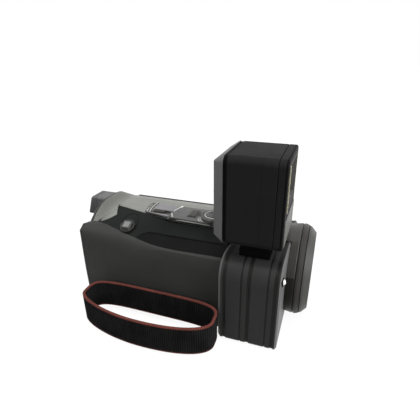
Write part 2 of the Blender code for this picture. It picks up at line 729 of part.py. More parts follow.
def make_lens(black, grey, glass, steel):
    """The barrel, focus ring, hood, glass and what stands behind them on the lens axis."""
    axis = (LENS_Y, LENS_Z)
    seat = LENS_TUBE_RADIUS + SEAM
    nose_end = HOOD_REAR - SEAM + RUNNING_GAP
    profile = [
        (NECK_REAR, seat),
        (NECK_REAR + 2.5 * MM, seat),
        (NECK_REAR + 2.5 * MM, NECK_BORE),
        (BARREL_REAR + BARREL_FLANGE, NECK_BORE),
        (BARREL_REAR + BARREL_FLANGE, BARREL_BORE),
        (nose_end, BARREL_BORE),
        (nose_end, NOSE_RADIUS - RUNNING_GAP),
        (BARREL_FRONT, NOSE_RADIUS - RUNNING_GAP),
        (BARREL_FRONT, BARREL_RADIUS - 0.5 * MM),
        (BARREL_FRONT - 0.5 * MM, BARREL_RADIUS),
        (BARREL_REAR, BARREL_RADIUS - BARREL_FLARE),
        (BARREL_REAR, NECK_RADIUS),
        (NECK_REAR, NECK_RADIUS),
    ]
    barrel = add("lens_barrel", turned("X", axis, profile), black)
    combine(barrel, crown_mesh(), "UNION")
    add("focus_ring", focus_ring_mesh(axis), grey, pivot=(RING_REAR, LENS_Y, LENS_Z))
    hood_radius = BARREL_RADIUS - RING_TAPER - RUNNING_GAP
    profile = [
        (HOOD_REAR + SEAM, HOOD_BORE),
        (HOOD_FRONT - 0.6 * MM, HOOD_BORE + 0.4 * MM),
        (HOOD_FRONT, HOOD_BORE + 1.0 * MM),
        (HOOD_FRONT, hood_radius - HOOD_CHAMFER),
        (HOOD_REAR + HOOD_SHOULDER, hood_radius - HOOD_SHOULDER / 2),
        (HOOD_REAR + SEAM, hood_radius),
    ]
    add("hood_rim", turned("X", axis, profile), black)
    make_glass(axis, black, glass)
    tube_front = NECK_REAR + LENS_TUBE_LAP
    tube_rear = tube_front - LENS_TUBE_LENGTH
    ring, bore = LENS_TUBE_RADIUS, LENS_TUBE_RADIUS - LENS_TUBE_WALL
    add("lens_tube", tube("X", axis, tube_rear, tube_front, bore, ring, 32), black)
    start = tube_rear + REAR_GLASS_SETBACK
    add("rear_lens", disc("X", axis, start, start + REAR_GLASS_THICKNESS, bore - SEAM, 32), glass)
    half = SENSOR_SIDE / 2
    low = (tube_rear - SEAM - SENSOR_THICKNESS, LENS_Y - half, LENS_Z - half)
    high = (tube_rear - SEAM, LENS_Y + half, LENS_Z + half)
    add("image_sensor", block(low, high, 0.4 * MM), steel)
    side = LENS_Y - LENS_TUBE_RADIUS - SEAM - MOTOR_RADIUS
    add("zoom_motor", disc("X", (side, LENS_Z), 0.0, MOTOR_LENGTH, MOTOR_RADIUS, 20), steel)


def crown_mesh():
    """The part of the barrel that runs back over the top of the housing."""
    radius = BARREL_RADIUS - BARREL_FLARE - 0.05 * MM
    lift = HOUSING_TOP + SEAM - LENS_Z
    turn = math.degrees(math.acos(lift / radius))
    outline = arc((LENS_Y, LENS_Z), radius, 90 - turn, 90 + turn, 12)
    return prism("X", BARREL_REAR - CROWN_LENGTH, BARREL_REAR + MM, outline)


def focus_ring_mesh(axis):
    """A ring with a flat band that tapers to the front."""
    edge = 0.5 * MM
    return turned(
        "X",
        axis,
        [
            (RING_REAR, NOSE_RADIUS),
            (RING_FRONT, NOSE_RADIUS),
            (RING_FRONT, BARREL_RADIUS - RING_TAPER),
            (RING_REAR + RING_FLAT, BARREL_RADIUS),
            (RING_REAR + edge, BARREL_RADIUS),
            (RING_REAR, BARREL_RADIUS - edge),
        ],
    )


def make_glass(axis, black, glass):
    """The front element with its dome, and the stepped ring that holds it in the barrel."""
    seat = GLASS_FRONT - FRONT_GLASS_THICKNESS
    outer = BARREL_BORE - SEAM
    inner = FRONT_GLASS_RADIUS + SEAM
    rear = BARREL_REAR + BARREL_FLANGE + SEAM
    front = HOOD_REAR
    profile = [
        (rear, inner - 2.5 * MM),
        (seat - SEAM, inner - 2.5 * MM),
        (seat - SEAM, inner),
        (GLASS_FRONT, inner),
        (front, outer - 1.0 * MM),
        (front, outer),
        (rear, outer),
    ]
    add("lens_retainer", turned("X", axis, profile), black)
    steps = 5
    dome = [(seat, 0.0)]
    for step in range(steps + 1):
        share = step / steps
        dome.append((GLASS_FRONT - GLASS_DOME * share**2, FRONT_GLASS_RADIUS * share))
    dome.append((seat, FRONT_GLASS_RADIUS))
    add("front_lens", turned("X", axis, dome), glass)


def make_tally_lamp(pale):
    """The small domed lamp on the housing's front face."""
    centre = (LAMP_FROM_SIDE - HOUSING_RIGHT, HOUSING_TOP - LAMP_FROM_TOP)
    start = HOUSING_FRONT + SEAM
    dome = [(start, 0.0), (start + LAMP_HEIGHT, 0.0)]
    for angle in (30, 60, 85):
        turn = math.radians(angle)
        dome.append((start + LAMP_HEIGHT * math.cos(turn), LAMP_RADIUS * math.sin(turn)))
    dome.append((start, LAMP_RADIUS))
    add("tally_lamp", turned("X", centre, dome, 20), pale)


# Folding screen

def screen_outline(inset):
    """The screen panel's side view."""
    low = (SCREEN_FRONT - SCREEN_LENGTH + inset, SCREEN_FOOT_Z + inset)
    high = (SCREEN_FRONT - inset, SCREEN_FOOT_Z + SCREEN_HEIGHT - inset)
    return rounded_box(low, high, (max(SCREEN_CORNER - inset, 0.8 * MM),) * 4)


def make_screen(black, grey, glass, steel):
    """The folding screen: its ears, pin, barrel, outer shell, bezel and panel."""
    pivot = (HINGE_X, HINGE_Y, 0.0)
    split = SCREEN_INNER + BEZEL_THICKNESS
    rings = [
        (split + SEAM, screen_outline(0.0)),
        (SCREEN_OUTER - 1.6 * MM, screen_outline(0.0)),
        (SCREEN_OUTER - 0.5 * MM, screen_outline(0.5 * MM)),
        (SCREEN_OUTER, screen_outline(1.8 * MM)),
    ]
    add("screen_shell", loft("Y", rings), grey, pivot)
    bezel = add("screen_bezel", prism("Y", SCREEN_INNER, split, screen_outline(0.0)), black, pivot)
    window = screen_outline(SCREEN_BORDER)
    combine(bezel, prism("Y", SCREEN_INNER - MM, split + MM, window))
    panel = screen_outline(SCREEN_BORDER + SEAM)
    add("screen_panel", prism("Y", split - PANEL_THICKNESS, split, panel), glass, pivot)
    make_hinge(black, steel, pivot)


def make_hinge(black, steel, pivot):
    """Two ears on the left cover, a pin through them, and the barrel that carries the screen."""
    middle = (HINGE_X, HINGE_Y)
    half = HINGE_BARREL_LENGTH / 2
    low, high = SCREEN_MID_Z - half, SCREEN_MID_Z + half
    ear = ear_outline()
    hole = HINGE_PIN_RADIUS + RUNNING_GAP
    ears = (("hinge_ear_lower", low - RUNNING_GAP - HINGE_EAR), ("hinge_ear_upper", high + RUNNING_GAP))
    for name, foot in ears:
        piece = add(name, prism("Z", foot, foot + HINGE_EAR, ear), black)
        combine(piece, disc("Z", middle, foot - MM, foot + HINGE_EAR + MM, hole, 16))
    reach = HINGE_EAR + RUNNING_GAP
    add("hinge_pin", disc("Z", middle, low - reach, high + reach, HINGE_PIN_RADIUS, 16), steel)
    barrel = add("hinge_barrel", prism("Z", low, high, barrel_outline()), black, pivot)
    combine(barrel, disc("Z", middle, low - MM, high + MM, hole, 16))


def ear_outline():
    """An ear in plan: a round end on the hinge axis, with its foot on the left cover."""
    foot = BODY_LEFT + SEAM
    round_end = arc((HINGE_X, HINGE_Y), HINGE_RADIUS, 0, 180, 8)
    return [*round_end, (HINGE_X - HINGE_RADIUS, foot), (HINGE_X + HINGE_RADIUS, foot)]


def barrel_outline():
    """The hinge barrel in plan: a round body with a short arm to the screen shell's end."""
    arm = HINGE_RADIUS * 0.6
    angle = math.degrees(math.asin(0.6))
    round_end = arc((HINGE_X, HINGE_Y), HINGE_RADIUS, 180 + angle, 180 - angle + 360, 16)
    end = HINGE_X - HINGE_RADIUS
    return [*round_end, (end, HINGE_Y + arm), (end, HINGE_Y - arm)]


# Viewfinder

def finder_box(grow):
    """The viewfinder's rear view as two corners, grown on every side."""
    low = (FINDER_Y - FINDER_WIDTH / 2 - grow, FINDER_FOOT_Z - grow)
    high = (FINDER_Y + FINDER_WIDTH / 2 + grow, FINDER_FOOT_Z + FINDER_HEIGHT + grow)
    return low, high


def stem_box(grow):
    """The smaller stem that carries the viewfinder's head into the body, grown on every side."""
    low, high = finder_box(grow - STEM_INSET)
    return (low[0], low[1] - STEM_DROP), (high[0], high[1] - STEM_DROP)


def make_viewfinder(grey, rubber, glass):
    """The sliding viewfinder: a head outside the rear cover, its stem, eyecup, eyepiece and display."""
    head = rounded_box(*finder_box(0.0), (FINDER_CORNER,) * 4)
    stem = rounded_box(*stem_box(0.0), (MM,) * 4)
    rear, seat, front = BODY_REAR - FINDER_OUT, BODY_REAR - SEAM, BODY_REAR + FINDER_IN
    rings = [(rear, head), (seat, head), (seat, stem), (front, stem)]
    tube_piece = add("viewfinder_tube", loft("X", rings), grey)
    inner = rounded_box(*stem_box(-1.4 * MM), (MM,) * 4)
    combine(tube_piece, prism("X", rear - MM, front - 2 * MM, inner))
    end = rear - SEAM
    eyecup = add("eyecup", eyecup_mesh(end), rubber)
    recess = rounded_box(*finder_box(-2.6 * MM), (1.6 * MM,) * 4)
    combine(eyecup, prism("X", end - EYECUP_LENGTH - EYECUP_SLANT - MM, end + MM, recess))
    inside = rounded_box(*stem_box(-1.4 * MM - SEAM), (MM,) * 4)
    add("eyepiece_lens", prism("X", rear + 0.4 * MM, rear + 2.4 * MM, inside), glass)
    start = front - 2 * MM - SEAM - 3 * MM
    add("viewfinder_display", prism("X", start, start + 3 * MM, inside), glass)


def eyecup_mesh(end):
    """The rubber eyecup, whose rear face leans back towards its foot."""
    outline = rounded_box(*finder_box(0.0), (FINDER_CORNER,) * 4)
    small = rounded_box(*finder_box(-EYECUP_EDGE), (FINDER_CORNER - EYECUP_EDGE,) * 4)
    full = end - EYECUP_LENGTH + EYECUP_EDGE
    mesh = loft("X", [(end, outline), (full, outline), (end - EYECUP_LENGTH, small)])
    for vert in mesh.verts:
        if vert.co.x < end - MM / 2:
            share = (FINDER_FOOT_Z + FINDER_HEIGHT - vert.co.z) / FINDER_HEIGHT
            vert.co.x -= EYECUP_SLANT * share
    return mesh


# Battery

def battery_box(grow):
    """The battery's rear view as two corners, grown on every side."""
    low = (BATTERY_Y - BATTERY_WIDTH / 2 - grow, BATTERY_FOOT_Z - grow)
    high = (BATTERY_Y + BATTERY_WIDTH / 2 + grow, BATTERY_FOOT_Z + BATTERY_HEIGHT + grow)
    return low, high


def make_battery(black, grey):
    """The battery that slides out of the rear bay, and the latch above it."""
    low, high = battery_box(0.0)
    full = rounded_box(low, high, (BATTERY_CORNER,) * 4)
    drawn = shrunk(full, 1.0 * MM)
    rear = BODY_REAR - BATTERY_OUT
    rings = [(rear, drawn), (rear + MM, full), (rear + BATTERY_LENGTH, full)]
    add("battery_pack", loft("X", rings), black)
    foot = (BATTERY_Y - 5 * MM, BATTERY_FOOT_Z + BATTERY_HEIGHT + 1.6 * MM)
    head = (BATTERY_Y + 5 * MM, FINDER_FOOT_Z - 2.2 * MM)
    end = BODY_REAR - SEAM
    outline = rounded_box(foot, head, (MM,) * 4, 2)
    add("battery_latch", prism("X", end - 1.6 * MM, end, outline), grey)


# Controls

def plate_outline(rear, front, grow):
    """A control plate in plan, with its right side along the silver cover's edge."""
    width = CONTROL_FAR - cover_core(BODY_FRONT)[0][0]
    box = rounded_box((rear - grow, -width - grow), (front + grow, grow), (2 * MM,) * 4)
    outline = []
    for x, y in box:
        near = cover_core(x)[0][0]
        outline.append((x, CONTROL_FAR + y * (CONTROL_FAR - near) / width))
    return outline


def make_controls(cover, grey, mid, dark_glass, silver):
    """The plates, switch, zoom lever and buttons on the top cover."""
    foot = PLATE_TOP - PLATE_THICKNESS
    mode = (MODE_PLATE_X, MODE_PLATE_X + MODE_PLATE_LENGTH)
    zoom = (ZOOM_PLATE_X, ZOOM_PLATE_X + ZOOM_PLATE_LENGTH)
    for name, (rear, front) in (("mode_plate", mode), ("zoom_plate", zoom)):
        pocket = plate_outline(rear, front, SEAM)
        combine(cover, prism("Z", foot - SEAM, BODY_TOP + 3 * MM, pocket))
        piece = add(name, plate_mesh(foot, plate_outline(rear, front, 0.0)), mid)
        cut_plate(name, piece, foot)
    make_switch(foot, silver)
    make_zoom(foot, grey, silver)
    start, half = ZOOM_PLATE_X + WINDOW_FROM_REAR, WINDOW_WIDTH / 2
    low = (start, WINDOW_Y - half, PLATE_TOP + SEAM)
    high = (start + WINDOW_LENGTH, WINDOW_Y + half, PLATE_TOP + SEAM + 0.6 * MM)
    add("status_window", block(low, high, 0.15 * MM), dark_glass)


def plate_mesh(foot, outline):
    """A control plate with a small bevel on its upper edge."""
    edge = 0.4 * MM
    return loft("Z", [(foot, outline), (PLATE_TOP - edge, outline), (PLATE_TOP, shrunk(outline, edge))])


def switch_box(grow):
    """The mode switch's slot or knob in plan, at the rear end of its travel."""
    x = MODE_PLATE_X + SWITCH_FROM_REAR
    low = (x - grow, SWITCH_Y - SWITCH_WIDTH / 2 - grow)
    high = (x + SWITCH_LENGTH + grow, SWITCH_Y + SWITCH_WIDTH / 2 + grow)
    return low, high


def cut_plate(name, piece, foot):
    """The switch's slot in the mode plate, or the zoom lever's well in the zoom plate."""
    well_foot = foot + 0.6 * MM
    if name == "mode_plate":
        low, high = switch_box(SLIDE_GAP)
        high = (high[0] + SWITCH_TRAVEL, high[1])
        combine(piece, prism("Z", well_foot, PLATE_TOP + MM, rounded_box(low, high, (MM,) * 4, 2)))
    else:
        well = ZOOM_HUB_RADIUS + RUNNING_GAP
        combine(piece, disc("Z", (ZOOM_X, CONTROL_Y), well_foot, PLATE_TOP + MM, well, 32))


def make_switch(foot, silver):
    """The mode switch's ribbed knob."""
    low, high = switch_box(0.0)
    start = foot + 0.6 * MM + SEAM
    knob = block((*low, start), (*high, PLATE_TOP + 0.9 * MM), 0.25 * MM)
    piece = add("mode_switch", knob, silver)
    ribs = 5
    for rib in range(1, ribs):
        x = low[0] + SWITCH_LENGTH * rib / ribs
        near = (x - 0.3 * MM, low[1] - MM, PLATE_TOP + 0.5 * MM)
        far = (x + 0.3 * MM, high[1] + MM, PLATE_TOP + 3 * MM)
        combine(piece, block(near, far))


def make_zoom(foot, grey, silver):
    """The zoom lever, a hub with a wide ring and a thumb tab, round the photo button."""
    centre = (ZOOM_X, CONTROL_Y)
    start = foot + 0.6 * MM + SEAM
    top = start + ZOOM_HEIGHT
    bore = PHOTO_RADIUS + RUNNING_GAP
    lip = 0.5 * MM
    profile = [
        (start, bore),
        (top, bore),
        (top, ZOOM_RADIUS - lip),
        (top - lip, ZOOM_RADIUS),
        (PLATE_TOP + SEAM, ZOOM_RADIUS),
        (PLATE_TOP + SEAM, ZOOM_HUB_RADIUS),
        (start, ZOOM_HUB_RADIUS),
    ]
    pivot = (*centre, 0.0)
    lever = add("zoom_lever", turned("Z", centre, profile, 32), grey, pivot)
    tab_low = (-1.6 * MM, -ZOOM_RADIUS - ZOOM_TAB, PLATE_TOP + 0.6 * MM)
    tab_high = (1.6 * MM, -ZOOM_RADIUS + 1.4 * MM, top - 0.2 * MM)
    combine(lever, block(tab_low, tab_high, 0.3 * MM), "UNION", turn=Matrix.Translation(pivot))
    button_top = top + 0.7 * MM
    rim = 0.4 * MM
    profile = [
        (start + PHOTO_TRAVEL, 0.0),
        (button_top, 0.0),
        (button_top, PHOTO_RADIUS - rim),
        (button_top - rim, PHOTO_RADIUS),
        (start + PHOTO_TRAVEL, PHOTO_RADIUS),
    ]
    add("photo_button", turned("Z", centre, profile, 32), silver, pivot)


def record_frame():
    """The place and tilt of the record button on the thumb panel's slope."""
    _, crease, top = thumb_line(RECORD_X)
    along = (Vector(top) - Vector(crease)).normalized()
    middle = Vector(crease).lerp(Vector(top), RECORD_SHARE)
    lean = math.atan2(along[1], along[0])
    return Matrix.Translation((RECORD_X, middle[0], middle[1])) @ Matrix.Rotation(lean, 4, "X")


def make_record_button(panel, black, silver):
    """The square record button in its round bezel, both square to the panel's slope."""
    frame = record_frame()
    half = RECORD_SIDE / 2
    hole = half + SLIDE_GAP
    foot = 1.0 * MM
    top = foot + 1.0 * MM
    profile = [
        (foot, 0.0),
        (top, 0.0),
        (top, BEZEL_RADIUS - 1.2 * MM),
        (foot + 0.5 * MM, BEZEL_RADIUS),
        (foot, BEZEL_RADIUS),
    ]
    bezel = add("record_bezel", turned("Z", (0.0, 0.0), profile, 32), black, turn=frame)
    for piece in (bezel, panel):
        combine(piece, block((-hole, -hole, -5 * MM), (hole, hole, 8 * MM)), turn=frame)
    low = (-half, -half, -1.2 * MM)
    high = (half, half, top + RECORD_TRAVEL + 0.3 * MM)
    add("record_button", block(low, high, 0.3 * MM), silver, turn=frame)


# Shoe and video light

def make_shoe(black):
    """The accessory shoe on the housing and the light's foot, locked in it."""
    half_l, half_w = SHOE_LENGTH / 2, SHOE_WIDTH / 2
    plate, lip = SHOE_PLATE, SHOE_LIP
    channel = FOOT_THICKNESS + 2 * SEAM
    rail = half_w - FOOT_WIDTH / 2 - SEAM
    mouth = FOOT_WIDTH / 2 - 3.0 * MM
    y, z = SHOE_Y, SHOE_Z
    section = [
        (y - half_w, z),
        (y + half_w, z),
        (y + half_w, z + plate + channel + lip),
        (y + mouth, z + plate + channel + lip),
        (y + mouth, z + plate + channel),
        (y + half_w - rail, z + plate + channel),
        (y + half_w - rail, z + plate),
        (y - half_w + rail, z + plate),
        (y - half_w + rail, z + plate + channel),
        (y - mouth, z + plate + channel),
        (y - mouth, z + plate + channel + lip),
        (y - half_w, z + plate + channel + lip),
    ]
    add("accessory_shoe", prism("X", SHOE_X - half_l, SHOE_X + half_l, section), black)
    foot = z + plate + SEAM
    stem = mouth - SEAM
    shoulder = z + plate + channel + lip + SEAM
    top = LIGHT_FOOT_Z - SEAM
    section = [
        (y - FOOT_WIDTH / 2, foot),
        (y + FOOT_WIDTH / 2, foot),
        (y + FOOT_WIDTH / 2, foot + FOOT_THICKNESS),
        (y + stem, foot + FOOT_THICKNESS),
        (y + stem, shoulder),
        (y + half_w, shoulder),
        (y + half_w - MM, top),
        (y - half_w + MM, top),
        (y - half_w, shoulder),
        (y - stem, shoulder),
        (y - stem, foot + FOOT_THICKNESS),
        (y - FOOT_WIDTH / 2, foot + FOOT_THICKNESS),
    ]
    reach = FOOT_WIDTH / 2
    add("light_foot", prism("X", SHOE_X - reach, SHOE_X + reach, section), black)


def light_outline(inset):
    """The light's front view, drawn in on every side by inset."""
    low = (SHOE_Y - LIGHT_WIDTH / 2 + inset, LIGHT_FOOT_Z + inset)
    high = (SHOE_Y + LIGHT_WIDTH / 2 - inset, LIGHT_FOOT_Z + LIGHT_HEIGHT - inset)
    return rounded_box(low, high, (max(LIGHT_CORNER - inset, 0.8 * MM),) * 4)


def window_outline(grow):
    """The lamp's opening above the light's front panel, grown on every side."""
    border = LIGHT_WINDOW_BORDER - grow
    low = (SHOE_Y - LIGHT_WIDTH / 2 + border, LIGHT_FOOT_Z + LIGHT_PANEL_HEIGHT - grow)
    high = (SHOE_Y + LIGHT_WIDTH / 2 - border, LIGHT_FOOT_Z + LIGHT_HEIGHT - border)
    return rounded_box(low, high, (MM,) * 4)


def fine_line(x):
    """Sections of a fine parting line round the light."""
    half = LIGHT_LINE_WIDTH / 2
    plain, sunk = light_outline(0.0), light_outline(half)
    return [(x - 2 * half, plain), (x - half, sunk), (x + half, sunk), (x + 2 * half, plain)]


def make_light(grey, black, pale, green, mid):
    """The video light: back cover, housing, bezel, diffuser, lamp board and dimmer."""
    pivot = (SHOE_X, SHOE_Y, 0.0)
    back = LIGHT_REAR + LIGHT_BACK_LENGTH
    bezel_rear = LIGHT_REAR + LIGHT_LENGTH - LIGHT_BEZEL_LENGTH
    front = LIGHT_REAR + LIGHT_LENGTH
    rings = [
        (LIGHT_REAR, light_outline(LIGHT_BACK_BEVEL)),
        (back - 0.6 * MM, light_outline(0.0)),
        (back, light_outline(0.0)),
    ]
    add("light_back", loft("X", rings), grey, pivot)
    start = back + SEAM
    rings = [
        (start, light_outline(GROOVE_DEPTH)),
        (start + LIGHT_BAND, light_outline(GROOVE_DEPTH)),
        (start + LIGHT_BAND + GROOVE_FLANK, light_outline(0.0)),
        *fine_line(LIGHT_REAR + LIGHT_LINE_FROM_REAR),
        (bezel_rear - SEAM - GROOVE_FLANK, light_outline(0.0)),
        (bezel_rear - SEAM, light_outline(GROOVE_FLANK)),
    ]
    housing = add("light_housing", loft("X", rings), black, pivot)
    cavity = prism("X", start + LIGHT_WALL, bezel_rear + MM, light_outline(LIGHT_WALL))
    combine(housing, cavity)
    rings = [
        (bezel_rear, light_outline(GROOVE_FLANK)),
        (bezel_rear + GROOVE_FLANK, light_outline(0.0)),
        (front - 0.8 * MM, light_outline(0.0)),
        (front, light_outline(0.8 * MM)),
    ]
    bezel = add("light_bezel", loft("X", rings), black, pivot)
    combine(bezel, prism("X", bezel_rear - MM, front + MM, window_outline(0.0)))
    pane = front - DIFFUSER_SETBACK
    add("light_diffuser", prism("X", pane - DIFFUSER_THICKNESS, pane, window_outline(-SEAM)), pale, pivot)
    seat = bezel_rear - SEAM - LED_BOARD_THICKNESS
    board = light_outline(LIGHT_WALL + SEAM)
    add("lamp_board", prism("X", seat, seat + LED_BOARD_THICKNESS, board), green, pivot)
    centre = (SHOE_Y, LIGHT_MID_Z)
    end = LIGHT_REAR - SEAM
    profile = [
        (end - DIMMER_LENGTH, 0.0),
        (end, 0.0),
        (end, DIMMER_RADIUS),
        (end - DIMMER_LENGTH + 0.6 * MM, DIMMER_RADIUS),
        (end - DIMMER_LENGTH, DIMMER_RADIUS - 0.6 * MM),
    ]
    add("dimmer_knob", turned("X", centre, profile, 24), mid, (end, *centre))


# Hand strap

def strap_outline(inset):
    """The strap's loop in plan: a squarer side on the grip and a rounder one round the hand."""
    half_l, half_d = STRAP_LENGTH / 2 - inset, STRAP_DEPTH / 2 - inset
    centre = (STRAP_CENTRE_X, STRAP_NEAR - STRAP_DEPTH / 2)
    steps = 56
    outline = []
    for step in range(steps):
        angle = 2 * math.pi * step / steps
        hand_side = 2 / 2.2 if math.cos(angle) > 0 else 2 / 1.8
        power = 2 / 4.6 if math.sin(angle) > 0 else hand_side
        across = math.copysign(abs(math.cos(angle)) ** power, math.cos(angle))
        out = math.copysign(abs(math.sin(angle)) ** power, math.sin(angle))
        outline.append((centre[0] + half_l * across, centre[1] + half_d * out))
    return outline


def leaned(mesh):
    """The strap's shape, leaned so that it hangs lower away from the grip."""
    lean = Matrix.Identity(4)
    lean[2][1] = STRAP_RISE / STRAP_DEPTH
    lean[2][3] = STRAP_RISE - STRAP_RISE / STRAP_DEPTH * STRAP_NEAR
    bmesh.ops.transform(mesh, matrix=lean, verts=mesh.verts)
    return mesh


def make_strap(webbing, black):
    """The hand strap and the two lugs that hold it on the grip shell."""
    low, high = STRAP_FOOT_Z, STRAP_FOOT_Z + STRAP_WIDTH
    strap = add("hand_strap", leaned(prism("Z", low, high, strap_outline(0.0))), webbing)
    combine(strap, leaned(prism("Z", low - MM, high + MM, strap_outline(STRAP_THICKNESS))))
    near = -GRIP_SIDE - SEAM
    middle = STRAP_FOOT_Z + STRAP_RISE + STRAP_WIDTH / 2
    for name, side in (("strap_lug_front", 1), ("strap_lug_rear", -1)):
        x = STRAP_CENTRE_X + side * LUG_SPACING / 2
        start = (x - LUG_LENGTH / 2, near - LUG_THICKNESS, middle - LUG_HEIGHT / 2)
        end = (x + LUG_LENGTH / 2, near, middle + LUG_HEIGHT / 2)
        add(name, block(start, end, 0.4 * MM), black)


def make_board(green):
    """The main board, standing on the base plate behind the grip."""
    low = (BODY_FRONT - 6 * MM - BOARD_LENGTH, BOARD_Y, BASE_THICKNESS + SEAM)
    high = (BODY_FRONT - 6 * MM, BOARD_Y + BOARD_THICKNESS, BASE_THICKNESS + SEAM + BOARD_HEIGHT)
    add("main_board", block(low, high), green)


def main():
    """Clears the scene and builds every piece."""
    for old in list(bpy.data.objects):
        bpy.data.objects.remove(old)
    grey = finish("grip_grey", (0.055, 0.055, 0.055), 0.5)
    black = finish("satin_black", (0.022, 0.022, 0.022), 0.45)
    silver = finish("silver_paint", (0.33, 0.335, 0.31), 0.4, 0.3)
    mid = finish("mid_grey", (0.18, 0.18, 0.185), 0.4)
    light_grey = finish("light_grey", (0.09, 0.09, 0.09), 0.5)
    steel = finish("steel", (0.4, 0.4, 0.4), 0.35, 1.0)
    rubber = finish("rubber", (0.03, 0.03, 0.03), 0.8)
    webbing = finish("webbing", (0.02, 0.02, 0.02), 0.9)
    glass = finish("lens_glass", (0.02, 0.02, 0.03), 0.05)
    dark_glass = finish("dark_window", (0.03, 0.03, 0.03), 0.1)
    pale = finish("diffuser", (0.75, 0.73, 0.62), 0.4)
    green = finish("circuit_board", (0.03, 0.12, 0.06), 0.5)
    cover, panel = make_body(grey, black, silver, steel)
    make_housing(black)
    make_lens(black, grey, glass, steel)
    make_tally_lamp(pale)
    make_screen(black, grey, glass, steel)
    make_viewfinder(mid, rubber, glass)
    make_battery(black, grey)
    make_controls(cover, grey, mid, dark_glass, silver)
    make_record_button(panel, black, silver)
    make_shoe(black)
    make_light(light_grey, black, pale, green, mid)
    make_strap(webbing, black)
    make_board(green)


main()
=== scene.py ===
"""Looks for a handheld camcorder with a video light on its shoe.

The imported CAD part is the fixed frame. Each class dresses one sub-assembly: it gives the CAD pieces
their finishes, and it adds the trim, fasteners and fabric that ride with them. Sizes are in metres,
and plans of (x, y) points are in millimetres.
"""

import json
import logging
import math
from collections.abc import Callable, Sequence
from dataclasses import dataclass
from enum import Enum
from functools import cache

import bmesh
import bpy
from bmesh.types import BMEdge, BMesh, BMFace, BMVert
from bpy.types import Material, Node, NodeSocket, NodeTree, Object
from mathutils import Matrix, Vector
from mathutils.bvhtree import BVHTree
from mathutils.kdtree import KDTree


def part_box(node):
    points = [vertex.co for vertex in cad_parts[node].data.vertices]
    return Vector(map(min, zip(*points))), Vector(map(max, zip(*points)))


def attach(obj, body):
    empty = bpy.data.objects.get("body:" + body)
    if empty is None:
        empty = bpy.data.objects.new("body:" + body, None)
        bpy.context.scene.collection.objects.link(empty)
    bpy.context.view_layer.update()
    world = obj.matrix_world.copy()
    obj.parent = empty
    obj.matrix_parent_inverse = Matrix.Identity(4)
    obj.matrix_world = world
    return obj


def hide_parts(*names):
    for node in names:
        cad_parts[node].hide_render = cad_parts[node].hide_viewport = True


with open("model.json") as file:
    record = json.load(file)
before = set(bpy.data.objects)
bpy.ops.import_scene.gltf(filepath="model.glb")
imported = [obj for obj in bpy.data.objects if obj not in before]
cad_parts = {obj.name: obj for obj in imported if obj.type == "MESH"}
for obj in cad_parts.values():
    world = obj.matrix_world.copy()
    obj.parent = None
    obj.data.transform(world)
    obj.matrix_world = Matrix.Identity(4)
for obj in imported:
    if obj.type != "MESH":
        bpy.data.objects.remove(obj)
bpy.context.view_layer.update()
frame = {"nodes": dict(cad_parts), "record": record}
BODY_OF = {node: body for body, nodes in frame["record"]["behaviour"]["bodies"].items() for node in nodes}

MM = 0.001
TURN = 2 * math.pi
CAD_WELD = 1e-6
SPIN_WELD = 1e-7
LEVEL = math.radians(0.5)
SOFT_FROM = 60.0
DRAPE_STEPS = 5
log = logging.getLogger("camcorder")

Colour = tuple[int, int, int]
Linear = tuple[float, float, float, float]
Plan = Sequence[tuple[float, float]]


class Body(str, Enum):
    """The CAD bodies that the added pieces ride on."""

    CAMCORDER = "camcorder"
    SCREEN = "screen"
    VIEWFINDER = "viewfinder"
    BATTERY = "battery"
    LATCH = "battery_latch"
    ZOOM = "zoom_lever"
    PHOTO = "photo_button"
    RECORD = "record_button"
    LIGHT = "video_light"
    DIMMER = "dimmer"


class Way(Enum):
    """Directions in the shared frame."""

    FRONT = Vector((1.0, 0.0, 0.0))
    REAR = Vector((-1.0, 0.0, 0.0))
    LEFT = Vector((0.0, 1.0, 0.0))
    UP = Vector((0.0, 0.0, 1.0))
    DOWN = Vector((0.0, 0.0, -1.0))


# Shader nodes

WHITE = (1.0, 1.0, 1.0, 1.0)
CLOUD_SCALE = 46.0
PATCH_SCALE = 240.0
SMEAR_SCALE = 30.0
STREAK_SCALE = 320.0
TAPE_CLOUD_SCALE = 90.0


def linear(colour: Colour, times: float = 1.0) -> Linear:
    """Turns a colour of 0 to 255 as seen on a display into the shader's linear values.

    Args:
        colour: Red, green and blue as displayed.
        times: A factor on the linear values.

    Returns:
        Red, green, blue and a full alpha.
    """
    values = []
    for part in colour:
        share = part / 255
        value = share / 12.92 if share <= 0.04045 else ((share + 0.055) / 1.055) ** 2.4
        values.append(value * times)
    return (*values, 1.0)


